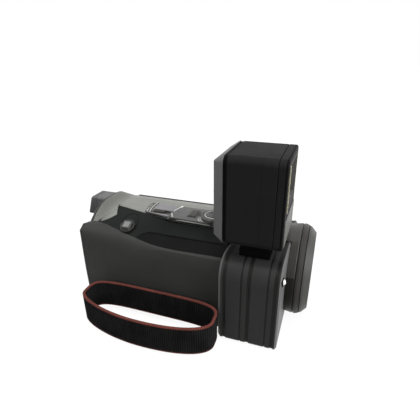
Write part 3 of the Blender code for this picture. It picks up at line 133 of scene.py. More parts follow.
@dataclass(frozen=True)
class Wiring:
    """Adds nodes to one shader tree."""

    tree: NodeTree

    def node(self, kind: str, inputs: dict | None = None, **settings: object) -> Node:
        """Adds a node, sets it up and links it.

        Args:
            kind: Blender's name of the node type.
            inputs: For each input's name or number, a socket to link or a value to set.
            settings: The node's own properties.

        Returns:
            The new node.
        """
        made = self.tree.nodes.new(kind)
        for key, value in settings.items():
            setattr(made, key, value)
        for key, value in (inputs or {}).items():
            if isinstance(value, NodeSocket):
                self.tree.links.new(value, made.inputs[key])
            else:
                made.inputs[key].default_value = value
        return made

    def calc(self, operation: str, first: object, second: object = 0.0) -> NodeSocket:
        """Adds a Math node and returns its result."""
        return self.node("ShaderNodeMath", {0: first, 1: second}, operation=operation).outputs[0]

    def ramp(self, value: object, low: float, high: float, start: float = 0.0,
             end: float = 1.0) -> NodeSocket:
        """Maps a value's range of low to high smoothly onto start to end."""
        inputs = {"Value": value, 1: low, 2: high, 3: start, 4: end}
        return self.node("ShaderNodeMapRange", inputs, interpolation_type="SMOOTHSTEP").outputs[0]

    def step(self, value: object, at: float, half: float, start: float = 0.0, end: float = 1.0) -> NodeSocket:
        """Goes from start to end where a value passes a mark, over half a width on each side of it."""
        return self.ramp(value, at - half, at + half, start, end)

    def mix(self, share: object, first: object, second: object) -> NodeSocket:
        """Mixes two colours by a share and returns the result."""
        return self.node("ShaderNodeMix", {0: share, 6: first, 7: second}, data_type="RGBA").outputs[2]

    def noise(self, place: NodeSocket, scale: object, detail: float = 2.0,
              distortion: float = 0.0) -> NodeSocket:
        """Adds a Noise texture and returns its value."""
        inputs = {"Vector": place, "Scale": scale, "Detail": detail, "Distortion": distortion}
        return self.node("ShaderNodeTexNoise", inputs).outputs[0]

    def group(self, tree: NodeTree, inputs: dict) -> Node:
        """Adds a node that runs a node group."""
        return self.node("ShaderNodeGroup", inputs, node_tree=tree)

    def axes(self, vector: NodeSocket) -> Sequence[NodeSocket]:
        """The X, Y and Z of a vector."""
        return self.node("ShaderNodeSeparateXYZ", {0: vector}).outputs

    def normal(self) -> Sequence[NodeSocket]:
        """The X, Y and Z of the surface's normal in the piece's own frame."""
        return self.axes(self.node("ShaderNodeTexCoord").outputs["Normal"])


@dataclass(frozen=True)
class Paint(Wiring):
    """Wiring with Object coordinates and a slow change of shade from 0 to 1, to make a colour with."""

    place: NodeSocket
    shade: NodeSocket


def new_group(name: str, sizes: Sequence[str], outputs: Sequence[str]) -> tuple[Wiring, Node]:
    """Starts a shader node group that takes a vector.

    Args:
        name: The group's name.
        sizes: The names of its other inputs, which are plain values.
        outputs: The names of its outputs, which are plain values.

    Returns:
        The group's wiring and its input node.
    """
    tree = bpy.data.node_groups.new(name, "ShaderNodeTree")
    tree.interface.new_socket("Vector", in_out="INPUT", socket_type="NodeSocketVector")
    for titles, side in ((sizes, "INPUT"), (outputs, "OUTPUT")):
        for title in titles:
            tree.interface.new_socket(title, in_out=side, socket_type="NodeSocketFloat")
    wiring = Wiring(tree)
    return wiring, wiring.node("NodeGroupInput")


@cache
def grain_group() -> NodeTree:
    """Makes the fine pitted grain of moulded plastic, with its slow change of shade.

    Returns:
        The node group.
    """
    wiring, start = new_group("mould_grain", ("Size",), ("Height", "Shade"))
    place = start.outputs["Vector"]
    scale = wiring.calc("DIVIDE", 1.0, start.outputs["Size"])
    pits = wiring.node("ShaderNodeTexVoronoi", {"Vector": place, "Scale": scale}, feature="SMOOTH_F1")
    height = wiring.calc("ADD", wiring.noise(place, scale), pits.outputs["Distance"])
    shade = wiring.ramp(wiring.noise(place, CLOUD_SCALE, 4.0), 0.3, 0.7)
    wiring.node("NodeGroupOutput", {"Height": height, "Shade": shade})
    return wiring.tree


@cache
def edge_group() -> NodeTree:
    """Makes a patchy mask along sharp edges, where hands polish the surface.

    Returns:
        The node group.
    """
    wiring, start = new_group("edge_wear", ("Radius",), ("Mask",))
    rounded = wiring.node("ShaderNodeBevel", {"Radius": start.outputs["Radius"]}, samples=4)
    geometry = wiring.node("ShaderNodeNewGeometry")
    inputs = {0: rounded.outputs[0], 1: geometry.outputs["Normal"]}
    turn = wiring.node("ShaderNodeVectorMath", inputs, operation="DOT_PRODUCT")
    edge = wiring.ramp(turn.outputs["Value"], 0.9, 0.995, 1.0, 0.0)
    patches = wiring.ramp(wiring.noise(start.outputs["Vector"], PATCH_SCALE), 0.3, 0.7, 0.35, 1.0)
    wiring.node("NodeGroupOutput", {"Mask": wiring.calc("MULTIPLY", edge, patches)})
    return wiring.tree


@cache
def handling_group() -> NodeTree:
    """Makes the faint smears where fingers rest, as a value to vary the gloss by.

    Returns:
        The node group.
    """
    wiring, start = new_group("handling", (), ("Smear",))
    place = start.outputs["Vector"]
    wide = wiring.noise(place, SMEAR_SCALE, distortion=1.2)
    both = wiring.calc("MULTIPLY", wide, wiring.noise(place, STREAK_SCALE, 3.0))
    wiring.node("NodeGroupOutput", {"Smear": wiring.ramp(both, 0.12, 0.42)})
    return wiring.tree


# Finishes

@dataclass(frozen=True)
class Finish:
    """A moulded, painted or metal surface with grain, handled gloss and worn edges."""

    name: str
    slot: str
    colour: Colour
    roughness: float = 0.45
    specular: float = 0.25
    metallic: float = 0.0
    grain: float = 0.5 * MM
    relief: float = 0.04 * MM
    variation: float = 0.06
    gloss_spread: float = 0.07
    wear: float = 0.5
    wear_radius: float = 0.5 * MM
    coat: float = 0.0
    bump: float = 0.5

    def wear_colour(self) -> Linear:
        """The lighter colour that shows on worn edges."""
        return linear(tuple(min(255, int(part * 1.35) + 10) for part in self.colour))

    def plain(self) -> dict[str, float]:
        """The shader's values that are the same all over the surface."""
        return {"Specular IOR Level": self.specular, "Metallic": self.metallic, "Coat Weight": self.coat}

    def gloss_range(self) -> tuple[float, float]:
        """The lowest and the highest roughness."""
        return self.roughness - self.gloss_spread, self.roughness + self.gloss_spread

    def raised(self, wiring: Wiring, height: NodeSocket) -> NodeSocket:
        """The normal of a surface with a relief of some height."""
        inputs = {"Height": height, "Distance": self.relief, "Strength": self.bump}
        return wiring.node("ShaderNodeBump", inputs).outputs[0]

    def tint(self, paint: Paint) -> NodeSocket:
        """The surface's colour before its edges wear."""
        dark, pale = linear(self.colour, 1 - self.variation), linear(self.colour, 1 + self.variation)
        return paint.mix(paint.shade, dark, pale)

    def surface(self, wiring: Wiring) -> dict[str, NodeSocket]:
        """Makes what varies over the surface.

        Args:
            wiring: The material's wiring.

        Returns:
            For each of the shader's inputs that varies, the socket to link to it.
        """
        place = wiring.node("ShaderNodeTexCoord").outputs["Object"]
        grain = wiring.group(grain_group(), {"Vector": place, "Size": self.grain})
        edges = wiring.group(edge_group(), {"Vector": place, "Radius": self.wear_radius})
        hands = wiring.group(handling_group(), {"Vector": place})
        base = self.tint(Paint(wiring.tree, place, grain.outputs["Shade"]))
        worn = wiring.calc("MULTIPLY", edges.outputs["Mask"], self.wear)
        return {
            "Base Color": wiring.mix(worn, base, self.wear_colour()),
            "Roughness": wiring.ramp(hands.outputs["Smear"], 0.0, 1.0, *self.gloss_range()),
            "Normal": self.raised(wiring, grain.outputs["Height"]),
        }

    @cache
    def material(self) -> Material:
        """Builds the finish as a material, once.

        Returns:
            The material.
        """
        material = bpy.data.materials.new(self.name)
        material.use_nodes = True
        wiring = Wiring(material.node_tree)
        shader = wiring.tree.nodes["Principled BSDF"]
        for name, value in self.plain().items():
            shader.inputs[name].default_value = value
        for name, socket in self.surface(wiring).items():
            wiring.tree.links.new(socket, shader.inputs[name])
        material.diffuse_color = linear(self.colour)
        return material


@dataclass(frozen=True)
class BandedFinish(Finish):
    """A finish with darker bands of painted shade across it at set distances along X, where its grooves lie.
    """

    bands: tuple[tuple[float, float], ...] = ()
    groove_shade_colour: Colour = (20, 20, 20)
    softness: float = 0.15 * MM

    def tint(self, paint: Paint) -> NodeSocket:
        """Darkens the plain colour inside the bands with painted shade.

        Args:
            paint: What the colour is made with.

        Returns:
            The colour socket.
        """
        base = super().tint(paint)
        along = paint.axes(paint.place)[0]
        # Painted shade over each groove.
        for low, high in self.bands:
            rise = paint.step(along, low, self.softness)
            fall = paint.step(along, high, self.softness, 1.0, 0.0)
            base = paint.mix(paint.calc("MULTIPLY", rise, fall), base, linear(self.groove_shade_colour))
        return base


@dataclass(frozen=True)
class HousingFinish(BandedFinish):
    """A banded finish with a painted highlight, a lighter colour on its faces that look to the front or the
    rear.
    """

    face_highlight_colour: Colour = (90, 90, 90)
    ends: tuple[float, float] = (0.0, 0.0)
    end_fade: float = 0.2 * MM

    def tint(self, paint: Paint) -> NodeSocket:
        """Paints a highlight in the lighter colour on the end faces of the banded one.

        Args:
            paint: What the colour is made with.

        Returns:
            The colour socket.
        """
        base = super().tint(paint)
        # Painted highlight on the faces that look to the front or the rear, at the housing's ends.
        turned_away = paint.ramp(paint.calc("ABSOLUTE", paint.normal()[0]), 0.35, 0.75)
        along = paint.axes(paint.place)[0]
        rear = paint.ramp(along, self.ends[0], self.ends[0] + self.end_fade, 1.0, 0.0)
        front = paint.ramp(along, self.ends[1] - self.end_fade, self.ends[1])
        share = paint.calc("MULTIPLY", turned_away, paint.calc("MAXIMUM", rear, front))
        return paint.mix(share, base, linear(self.face_highlight_colour))


@dataclass(frozen=True)
class PlateFinish(Finish):
    """A plate's finish, with painted shade on the side that looks to the grip."""

    side: Colour = (44, 44, 44)

    def tint(self, paint: Paint) -> NodeSocket:
        """The plain colour, with a dark painted shade on the side face."""
        # Painted shade on the faces that look to the grip side.
        side_shade_share = paint.ramp(paint.normal()[1], -0.6, -0.3, 1.0, 0.0)
        return paint.mix(side_shade_share, super().tint(paint), linear(self.side))


@dataclass(frozen=True)
class SplitFinish(Finish):
    """A finish with painted shade below a height."""

    split: float = 0.0
    softness: float = 0.1 * MM
    shade_below: Colour = (30, 30, 30)

    def tint(self, paint: Paint) -> NodeSocket:
        """The plain colour above the split and a darker painted shade below it."""
        # Painted shade below the split.
        below = paint.step(paint.axes(paint.place)[2], self.split, self.softness, 1.0, 0.0)
        return paint.mix(below, super().tint(paint), linear(self.shade_below))


@dataclass(frozen=True)
class ThumbFinish(Finish):
    """The thumb panel's finish, with painted shade below the line that bends forward from the record button.
    """

    shade_below: Colour = (20, 20, 20)
    line_y: float = -20.7 * MM
    line_x: float = -30.7 * MM
    bend: float = 5.5 * MM
    drop: float = 9.7 * MM
    softness: float = 0.3 * MM

    def tint(self, paint: Paint) -> NodeSocket:
        """Makes the plain colour beside the silver cover and a darker painted shade along the grip.

        Args:
            paint: What the colour is made with.

        Returns:
            The colour socket.
        """
        along, across, _ = paint.axes(paint.place)
        behind = paint.calc("DIVIDE", paint.calc("SUBTRACT", self.line_x, along), self.bend)
        fall = paint.calc("MULTIPLY", paint.calc("EXPONENT", behind), self.drop)
        over = paint.calc("ADD", paint.calc("SUBTRACT", across, self.line_y), fall)
        # Painted shade below the bend line.
        below = paint.step(over, 0.0, self.softness, 1.0, 0.0)
        return paint.mix(below, super().tint(paint), linear(self.shade_below))


@dataclass(frozen=True)
class FlakePaint(Finish):
    """Silver paint with fine metal flake, with painted shade along the edge below the control plates and
    deepening towards the rear.
    """

    flake: float = 0.25 * MM
    edge_shade: Colour = (46, 46, 45)
    edge_shade_rear: float = -33.0 * MM
    edge_shade_top: float = 72.8 * MM
    edge_shade_side: float = -1.5 * MM
    rear_shade_from: float = -68.0 * MM
    rear_shade_to: float = -54.0 * MM

    def tint(self, paint: Paint) -> NodeSocket:
        """Adds flakes that are a little lighter, painted shade that deepens to the rear and painted shade on
        the edge below the plates to the plain colour.

        Args:
            paint: What the colour is made with.

        Returns:
            The colour socket.
        """
        flakes = paint.node("ShaderNodeTexVoronoi", {"Vector": paint.place, "Scale": 1.0 / self.flake})
        share = paint.ramp(flakes.outputs["Color"], 0.2, 0.9, 0.0, 0.3)
        flaked = paint.mix(share, super().tint(paint), linear(self.colour, 1.4))
        along, across, height = paint.axes(paint.place)
        # Painted shade, deepening towards the rear.
        fade = paint.ramp(along, self.rear_shade_from, self.rear_shade_to, 0.75, 0.0)
        rear_shaded = paint.mix(fade, flaked, linear(self.colour, 0.4))
        # Painted shade on the edge below the control plates, on the grip side.
        ahead = paint.step(along, self.edge_shade_rear, 0.2 * MM)
        low = paint.step(height, self.edge_shade_top, 0.2 * MM, 1.0, 0.0)
        near = paint.step(across, self.edge_shade_side, 0.5 * MM, 1.0, 0.0)
        edge = paint.calc("MULTIPLY", paint.calc("MULTIPLY", ahead, low), near)
        return paint.mix(edge, rear_shaded, linear(self.edge_shade))


@dataclass(frozen=True)
class GlassFinish(Finish):
    """Coated glass, clear for a lens or dark for a display."""

    clear: bool = False
    refraction: float = 1.52
    coat_roughness: float = 0.03

    def plain(self) -> dict[str, float]:
        """Adds the glass values to the plain ones."""
        glass = {"IOR": self.refraction, "Transmission Weight": float(self.clear)}
        return super().plain() | glass | {"Coat Roughness": self.coat_roughness}


@dataclass(frozen=True)
class ClothFinish(Finish):
    """Woven tape, with its threads on the piece's own UV map: U runs along it and V across, in metres."""

    gloss_spread: float = 0.08
    bump: float = 0.7
    thread: float = 0.35 * MM
    sheen: float = 0.02
    sheen_roughness: float = 0.5
    groove: float = 0.0

    def plain(self) -> dict[str, float]:
        """Adds the cloth's sheen to the plain values."""
        return super().plain() | {"Sheen Weight": self.sheen, "Sheen Roughness": self.sheen_roughness}

    def surface(self, wiring: Wiring) -> dict[str, NodeSocket]:
        """Makes the weave, with painted shade between the ribs.

        Args:
            wiring: The material's wiring.

        Returns:
            For each of the shader's inputs that varies, the socket to link to it.
        """
        place = wiring.node("ShaderNodeUVMap", {}, uv_map="along").outputs[0]
        scale = 1.0 / self.thread
        waves = {"Vector": place, "Scale": scale / 6.0, "Distortion": 0.6}
        threads = [wiring.node("ShaderNodeTexWave", waves, bands_direction=way).outputs[0] for way in "YX"]
        weave = wiring.calc("MAXIMUM", *threads)
        fuzz = wiring.noise(place, scale * 2.0, 3.0)
        tone = wiring.ramp(wiring.noise(place, TAPE_CLOUD_SCALE, 3.0), 0.3, 0.7)
        base = self.tint(Paint(wiring.tree, place, tone))
        woven = wiring.mix(wiring.ramp(weave, 0.2, 0.9, 0.35, 0.0), base, linear(self.colour, 0.5))
        # Painted shade in the grooves between the ribs.
        crest = wiring.node("ShaderNodeAttribute", {}, attribute_name="rib").outputs["Fac"]
        between = wiring.ramp(crest, 0.0, 1.0, self.groove, 0.0)
        return {
            "Base Color": wiring.mix(between, woven, linear(self.colour, 0.2)),
            "Roughness": wiring.ramp(fuzz, 0.2, 0.8, *self.gloss_range()),
            "Normal": self.raised(wiring, wiring.calc("ADD", weave, fuzz)),
        }


HOUSING_REAR = 36.5 * MM
HOUSING_GROOVES = ((3.1, 5.6), (15.2, 16.3), (19.4, 22.1), (32.3, 33.4), (36.4, 38.8))
LIGHT_REAR = 32.3 * MM
LIGHT_GROOVES = ((6.6, 9.1), (41.9, 43.2))


def bands_from(rear: float, grooves: Plan) -> tuple[tuple[float, float], ...]:
    """Where bands lie along X, from their distances in millimetres in front of a rear face."""
    return tuple((rear + low * MM, rear + high * MM) for low, high in grooves)


GRIP_GREY = Finish("grip_grey", "grip_grey", (51, 51, 50), 0.5, 0.1, grain=0.6 * MM, wear=0.15)
# The thumb panel gets painted shade below its bend line.
PANEL_BLACK = ThumbFinish("panel_black", "satin_black", (31, 32, 32), 0.5, 0.03, grain=0.4 * MM, wear=0.15)
RIDGE_BLACK = Finish("ridge_black", "satin_black", (34, 35, 35), 0.5, 0.1, wear=0.1)
SATIN_BLACK = Finish("satin_black", "satin_black", (34, 34, 34), 0.45, 0.15)
DEEP_BLACK = Finish("deep_black", "satin_black", (8, 8, 8), 0.5, 0.02, wear=0.2)
LINE_BLACK = Finish("line_black", "satin_black", (18, 18, 18), 0.6, 0.05, wear=0.0)
# The lens housing gets painted shade over its grooves and a painted highlight on its end faces.
HOUSING_BLACK = HousingFinish("housing_black", "satin_black", (45, 45, 45), 0.45, 0.1, grain=0.45 * MM,
                              gloss_spread=0.03, bands=bands_from(HOUSING_REAR, HOUSING_GROOVES),
                              groove_shade_colour=(26, 27, 25),
                              ends=(HOUSING_REAR + 2.8 * MM, HOUSING_REAR + 39.8 * MM))
# The barrel's lower half gets painted shade.
BARREL_GREY = SplitFinish("barrel_grey", "satin_black", (70, 69, 66), 0.42, 0.15, grain=0.4 * MM, wear=0.2,
                          split=44.8 * MM, shade_below=(38, 37, 34))
RING_GREY = Finish("ring_grey", "grip_grey", (54, 53, 51), 0.42, 0.12, grain=0.4 * MM, wear=0.2)
HOOD_GREY = Finish("hood_grey", "satin_black", (64, 64, 62), 0.42, 0.12, grain=0.4 * MM, wear=0.2)
# The silver gets painted shade towards the rear and on the edge below the plates.
SILVER_PAINT = FlakePaint("silver_paint", "silver_paint", (124, 125, 120), 0.45, 0.15, 0.15, grain=0.9 * MM)
BRIGHT_TRIM = Finish("bright_trim", "silver_paint", (186, 186, 180), 0.35, 0.4, 0.3, wear=0.2)
RECORD_GREY = Finish("record_grey", "silver_paint", (118, 118, 117), 0.45, 0.15, 0.1)
# The plates and the photo button get painted shade on their sides that look to the grip.
MODE_GREY = PlateFinish("mode_grey", "mid_grey", (124, 122, 125), 0.45, 0.2, 0.1)
ZOOM_GREY = PlateFinish("zoom_grey", "mid_grey", (88, 88, 88), 0.45, 0.2, 0.1)
KNOB_GREY = Finish("knob_grey", "mid_grey", (70, 70, 68), 0.45, 0.2, 0.1)
SWITCH_GREY = Finish("switch_grey", "mid_grey", (60, 59, 57), 0.5, 0.15)
FINDER_GREY = Finish("finder_grey", "mid_grey", (92, 92, 92), 0.5, 0.15)
PATCH_DARK = Finish("patch_dark", "dark_window", (54, 51, 45), 0.4, 0.2, wear=0.1)
# The light's housing gets painted shade over its grooves.
LIGHT_BLACK = BandedFinish("light_black", "satin_black", (34, 34, 34), 0.5, 0.015, grain=0.45 * MM,
                           gloss_spread=0.03, wear=0.15, bands=bands_from(LIGHT_REAR, LIGHT_GROOVES),
                           groove_shade_colour=(14, 14, 14))
LIGHT_GREY = Finish("light_grey", "light_grey", (92, 92, 92), 0.5, 0.12, gloss_spread=0.03, wear=0.1)
# The chin's grey is partly its own colour and partly a painted highlight of the light from the front.
CHIN_GREY_AND_HIGHLIGHT = Finish("chin_grey_and_highlight", "light_grey", (80, 80, 79), 0.5, 0.2, wear=0.1)
CREAM_TRIM = Finish("cream_trim", "diffuser", (178, 174, 150), 0.5, 0.2, wear=0.1)
DIFFUSER = Finish("diffuser_panel", "diffuser", (150, 148, 134), 0.35, 0.3, grain=1.2 * MM, relief=0.12 * MM,
                  wear=0.0)
LAMP_WHITE = Finish("lamp_white", "diffuser", (230, 230, 226), 0.25, 0.4, wear=0.0)
STEEL = Finish("steel", "steel", (168, 168, 168), 0.32, 0.5, 1.0, grain=0.3 * MM)
BOARD_GREEN = Finish("board_green", "circuit_board", (30, 92, 58), 0.45, 0.3, wear=0.0)
EYECUP_RUBBER = Finish("eyecup_rubber", "rubber", (90, 90, 90), 0.75, 0.1, grain=0.8 * MM, wear=0.1)
RUBBER_BLACK = Finish("rubber_black", "rubber", (26, 26, 26), 0.8, 0.1, grain=0.8 * MM, wear=0.1)
LENS_GLASS = GlassFinish("lens_glass", "lens_glass", (236, 232, 246), 0.05, 0.5, relief=0.0, wear=0.0,
                         gloss_spread=0.02, coat=0.4, clear=True)
DARK_GLASS = GlassFinish("dark_glass", "lens_glass", (14, 15, 18), 0.1, 0.5, relief=0.0, wear=0.0,
                         gloss_spread=0.04, coat=0.3)
# The webbing gets painted shade between its ribs.
WEBBING = ClothFinish("webbing", "webbing", (30, 30, 30), 0.88, 0.02, relief=0.1 * MM, variation=0.4,
                      groove=0.9)
BINDING = ClothFinish("binding_red", "webbing", (92, 50, 44), 0.8, 0.05, relief=0.08 * MM, variation=0.14,
                      thread=0.3 * MM)


# Meshes

def mm(*values: float) -> Vector:
    """A vector from millimetres."""
    return Vector([value * MM for value in values])


def span(node: str) -> tuple[Vector, Vector, Vector]:
    """The low corner, the high corner and the middle of a CAD node's box."""
    low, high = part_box(node)
    return low, high, (low + high) / 2


def only(kind: type, parts: Sequence) -> list:
    """Those of a mesh's parts that are of one kind."""
    return [part for part in parts if isinstance(part, kind)]


def looped(items: Sequence) -> list[tuple]:
    """Each item of a closed loop with the one after it."""
    return list(zip(items, [*items[1:], items[0]]))


def facing(origin: Vector, way: Way | Vector) -> Matrix:
    """A place at an origin whose own Z points along a way."""
    normal = way.value if isinstance(way, Way) else way
    return Matrix.Translation(origin) @ normal.to_track_quat("Z", "Y").to_matrix().to_4x4()


def turned(profile: Plan, place: Matrix, steps: int = 64) -> BMesh:
    """Spins a closed profile.

    Args:
        profile: Points of (distance along the place's own Z, radius).
        place: Where the axis stands.
        steps: Facets round the axis.

    Returns:
        The closed mesh.
    """
    mesh = bmesh.new()
    verts = [mesh.verts.new((radius, 0.0, along)) for along, radius in profile]
    edges = [mesh.edges.new(pair) for pair in looped(verts)]
    bmesh.ops.spin(mesh, geom=verts + edges, axis=Way.UP.value, angle=TURN, steps=steps, use_merge=True)
    bmesh.ops.remove_doubles(mesh, verts=mesh.verts, dist=SPIN_WELD)
    bmesh.ops.dissolve_degenerate(mesh, dist=SPIN_WELD, edges=mesh.edges)
    bmesh.ops.delete(mesh, geom=[edge for edge in mesh.edges if edge.is_wire], context="EDGES")
    bmesh.ops.transform(mesh, matrix=place, verts=mesh.verts)
    return mesh


def bead(radius: float, tube: float, place: Matrix, steps: int = 64, sides: int = 8) -> BMesh:
    """Makes a round ring of a round section.

    Args:
        radius: From the place's own Z to the middle of the section.
        tube: The section's radius.
        place: Where the axis stands.
        steps: Facets round the axis.
        sides: Facets round the section.

    Returns:
        The closed mesh.
    """
    section = [TURN * side / sides for side in range(sides)]
    profile = [(tube * math.sin(angle), radius + tube * math.cos(angle)) for angle in section]
    return turned(profile, place, steps)


def soften(mesh: BMesh, edges: Sequence[BMEdge], width: float, segments: int) -> None:
    """Rounds some edges of a mesh, if the width is above zero.

    Args:
        mesh: The mesh.
        edges: The edges to round.
        width: The radius.
        segments: Facets across the round.
    """
    if width > 0.0:
        bmesh.ops.bevel(mesh, geom=list(edges), offset=width, segments=segments, profile=0.5, affect="EDGES",
                        material=-1, clamp_overlap=True)


def slab(size: Vector, corner: float, edge: float, place: Matrix) -> BMesh:
    """Makes a slab on the place's own XY plane, with round corners and a rounded upper edge.

    Args:
        size: Length along X, along Y and height.
        corner: Radius of the upright corners.
        edge: Radius of the upper edge.
        place: The middle of its foot.

    Returns:
        The closed mesh.
    """
    mesh = bmesh.new()
    bmesh.ops.create_cube(mesh, size=1.0)
    bmesh.ops.scale(mesh, vec=size, verts=mesh.verts)
    bmesh.ops.translate(mesh, vec=(0.0, 0.0, size.z / 2), verts=mesh.verts)
    upright = [side for side in mesh.edges if abs(side.verts[0].co.z - side.verts[1].co.z) > size.z / 2]
    soften(mesh, upright, corner, 4)
    top = [side for side in mesh.edges if min(vert.co.z for vert in side.verts) > size.z * 0.9]
    soften(mesh, top, edge, 2)
    bmesh.ops.transform(mesh, matrix=place, verts=mesh.verts)
    return mesh


def frame_slab(outer: Sequence[float], inner: Sequence[float], height: float, edge: float,
               place: Matrix) -> BMesh:
    """Makes a flat rectangular frame on the place's own XY plane.

    Args:
        outer: Its outer length along X and Y.
        inner: Its opening along X and Y.
        height: How far it stands up.
        edge: Radius of its upper edges.
        place: The middle of its foot.

    Returns:
        The closed mesh.
    """
    mesh = bmesh.new()
    loops = []
    for length, width in (outer, inner):
        loop = bmesh.ops.create_grid(mesh, x_segments=1, y_segments=1, size=0.5)["verts"]
        bmesh.ops.scale(mesh, vec=(length, width, 1.0), verts=loop)
        loops += [side for side in mesh.edges if all(vert in loop for vert in side.verts)]
    bmesh.ops.delete(mesh, geom=mesh.faces[:], context="FACES_ONLY")
    bmesh.ops.bridge_loops(mesh, edges=loops)
    raised = only(BMVert, bmesh.ops.extrude_face_region(mesh, geom=mesh.faces[:])["geom"])
    bmesh.ops.translate(mesh, vec=(0.0, 0.0, height), verts=raised)
    rim = [side for side in mesh.edges if all(vert.co.z > height / 2 for vert in side.verts)
           and len({face.normal.z > 0.5 for face in side.link_faces}) == 2]
    bmesh.ops.recalc_face_normals(mesh, faces=mesh.faces)
    soften(mesh, rim, edge, 2)
    bmesh.ops.transform(mesh, matrix=place, verts=mesh.verts)
    return mesh


def swept(path: Sequence[Vector], radius: float, sides: int = 8) -> BMesh:
    """Makes a round rod along a path, with closed ends.

    Args:
        path: Points in the shared frame.
        radius: The rod's radius.
        sides: Facets round it.

    Returns:
        The closed mesh.
    """
    mesh = bmesh.new()
    ahead = [(b - a).normalized() for a, b in zip(path, path[1:])]
    along = [ahead[0], *[(a + b).normalized() for a, b in zip(ahead, ahead[1:])], ahead[-1]]
    places = [facing(point, way) for point, way in zip(path, along)]
    bmesh.ops.create_circle(mesh, cap_ends=True, segments=sides, radius=radius, matrix=places[0])
    tip = mesh.faces[:]
    for before, after in zip(places, places[1:]):
        made = bmesh.ops.extrude_face_region(mesh, geom=tip)["geom"]
        if before is not places[0]:
            bmesh.ops.delete(mesh, geom=tip, context="FACES_ONLY")
        tip = only(BMFace, made)
        bmesh.ops.transform(mesh, matrix=after @ before.inverted(), verts=only(BMVert, made))
    return mesh


def joined(parts: Sequence[BMesh]) -> BMesh:
    """Puts several closed shapes into one mesh.

    Args:
        parts: The shapes, which are freed.

    Returns:
        The mesh that holds them all.
    """
    whole = bmesh.new()
    for part in parts:
        data = bpy.data.meshes.new("part")
        part.to_mesh(data)
        part.free()
        whole.from_mesh(data)
        bpy.data.meshes.remove(data)
    return whole


def screw(origin: Vector, normal: Vector, radius: float) -> BMesh:
    """Makes a pan-head screw with a cross recess.

    Args:
        origin: The middle of the head's foot.
        normal: The way it looks.
        radius: The head's radius.

    Returns:
        The closed mesh.
    """
    height, arm, slot = 0.5 * radius, 0.6 * radius, 0.15 * radius
    wall, crown, recess = 0.6 * height, 0.82, 0.55 * height
    mesh = bmesh.new()
    bmesh.ops.create_circle(mesh, cap_ends=True, segments=24, radius=radius)
    side = bmesh.ops.extrude_edge_only(mesh, edges=mesh.edges[:])["geom"]
    bmesh.ops.translate(mesh, vec=(0.0, 0.0, wall), verts=only(BMVert, side))
    dome = bmesh.ops.extrude_edge_only(mesh, edges=only(BMEdge, side))["geom"]
    bmesh.ops.scale(mesh, vec=(crown, crown, 1.0), verts=only(BMVert, dome))
    bmesh.ops.translate(mesh, vec=(0.0, 0.0, height - wall), verts=only(BMVert, dome))
    quarter = ((arm, -slot), (arm, slot), (slot, slot))
    plan = []
    for _ in range(4):
        plan += quarter
        quarter = [(-y, x) for x, y in quarter]
    cross = [mesh.verts.new((x, y, height)) for x, y in plan]
    inner = [mesh.edges.new(pair) for pair in looped(cross)]
    bmesh.ops.triangle_fill(mesh, use_beauty=True, edges=only(BMEdge, dome) + inner)
    centre = [face for face in mesh.faces if all(vert in cross for vert in face.verts)]
    bmesh.ops.delete(mesh, geom=centre, context="FACES_ONLY")
    floor = only(BMVert, bmesh.ops.extrude_edge_only(mesh, edges=inner)["geom"])
    bmesh.ops.translate(mesh, vec=(0.0, 0.0, -recess), verts=floor)
    bmesh.ops.holes_fill(mesh, edges=[edge for edge in mesh.edges if edge.is_boundary])
    bmesh.ops.transform(mesh, matrix=facing(origin, normal), verts=mesh.verts)
    return mesh


class Seat:
    """The outside of some CAD nodes, to set pieces on."""

    above: float = 0.3
    behind: float = -0.2
    beside: float = -0.1

    def __init__(self, *nodes: str) -> None:
        """Reads the nodes' meshes.

        Args:
            nodes: The nodes' names.
        """
        self.trees = []
        for node in nodes:
            data = frame["nodes"][node].data
            points = [vert.co.copy() for vert in data.vertices]
            self.trees.append(BVHTree.FromPolygons(points, [tuple(face.vertices) for face in data.polygons]))

    def meet(self, start: Vector, way: Way) -> tuple[Vector, Vector]:
        """Finds where a straight line first meets the nodes.

        Args:
            start: A point outside them.
            way: The direction to look.

        Returns:
            The point and the surface's normal there.

        Raises:
            ValueError: The line misses them all.
        """
        hits = [tree.ray_cast(start, way.value) for tree in self.trees]
        found = [hit for hit in hits if hit[0] is not None]
        if not found:
            raise ValueError(f"nothing to sit on from {start}")
        point, normal, _, _ = min(found, key=lambda hit: hit[3])
        return point, normal

    def under(self, x: float, y: float) -> tuple[Vector, Vector]:
        """The point and normal straight below a place in plan."""
        return self.meet(Vector((x, y, self.above)), Way.DOWN)

    def ahead(self, y: float, z: float) -> tuple[Vector, Vector]:
        """The point and normal straight in front of a place behind the object."""
        return self.meet(Vector((self.behind, y, z)), Way.FRONT)

    def across(self, x: float, z: float) -> tuple[Vector, Vector]:
        """The point and normal straight to the left of a place on the object's right."""
        return self.meet(Vector((x, self.beside, z)), Way.LEFT)


def smooth_path(points: Sequence[Vector], steps: int) -> list[Vector]:
    """Makes a smooth curve through some points.

    Args:
        points: At least two points.
        steps: Steps from each point to the next.

    Returns:
        The curve's points, both ends included.
    """
    ring = [points[0], *points, points[-1]]
    curve = []
    for before, here, there, after in zip(ring, ring[1:], ring[2:], ring[3:]):
        for step in range(steps):
            t = step / steps
            curve.append(0.5 * (2 * here + (there - before) * t
                                + (2 * before - 5 * here + 4 * there - after) * t**2
                                + (3 * here - before - 3 * there + after) * t**3))
    return [*curve, points[-1]]


def draped(seat: Seat, plan: Plan, radius: float) -> BMesh:
    """Makes a round rod that lies half sunk on a seat.

    Args:
        seat: What it lies on.
        plan: Points of x and y in millimetres, for a smooth curve through them.
        radius: The rod's radius.

    Returns:
        The closed mesh.
    """
    curve = smooth_path([mm(x, y) for x, y in plan], DRAPE_STEPS)
    return swept([seat.under(*point)[0] for point in curve], radius)


# Sub-assemblies

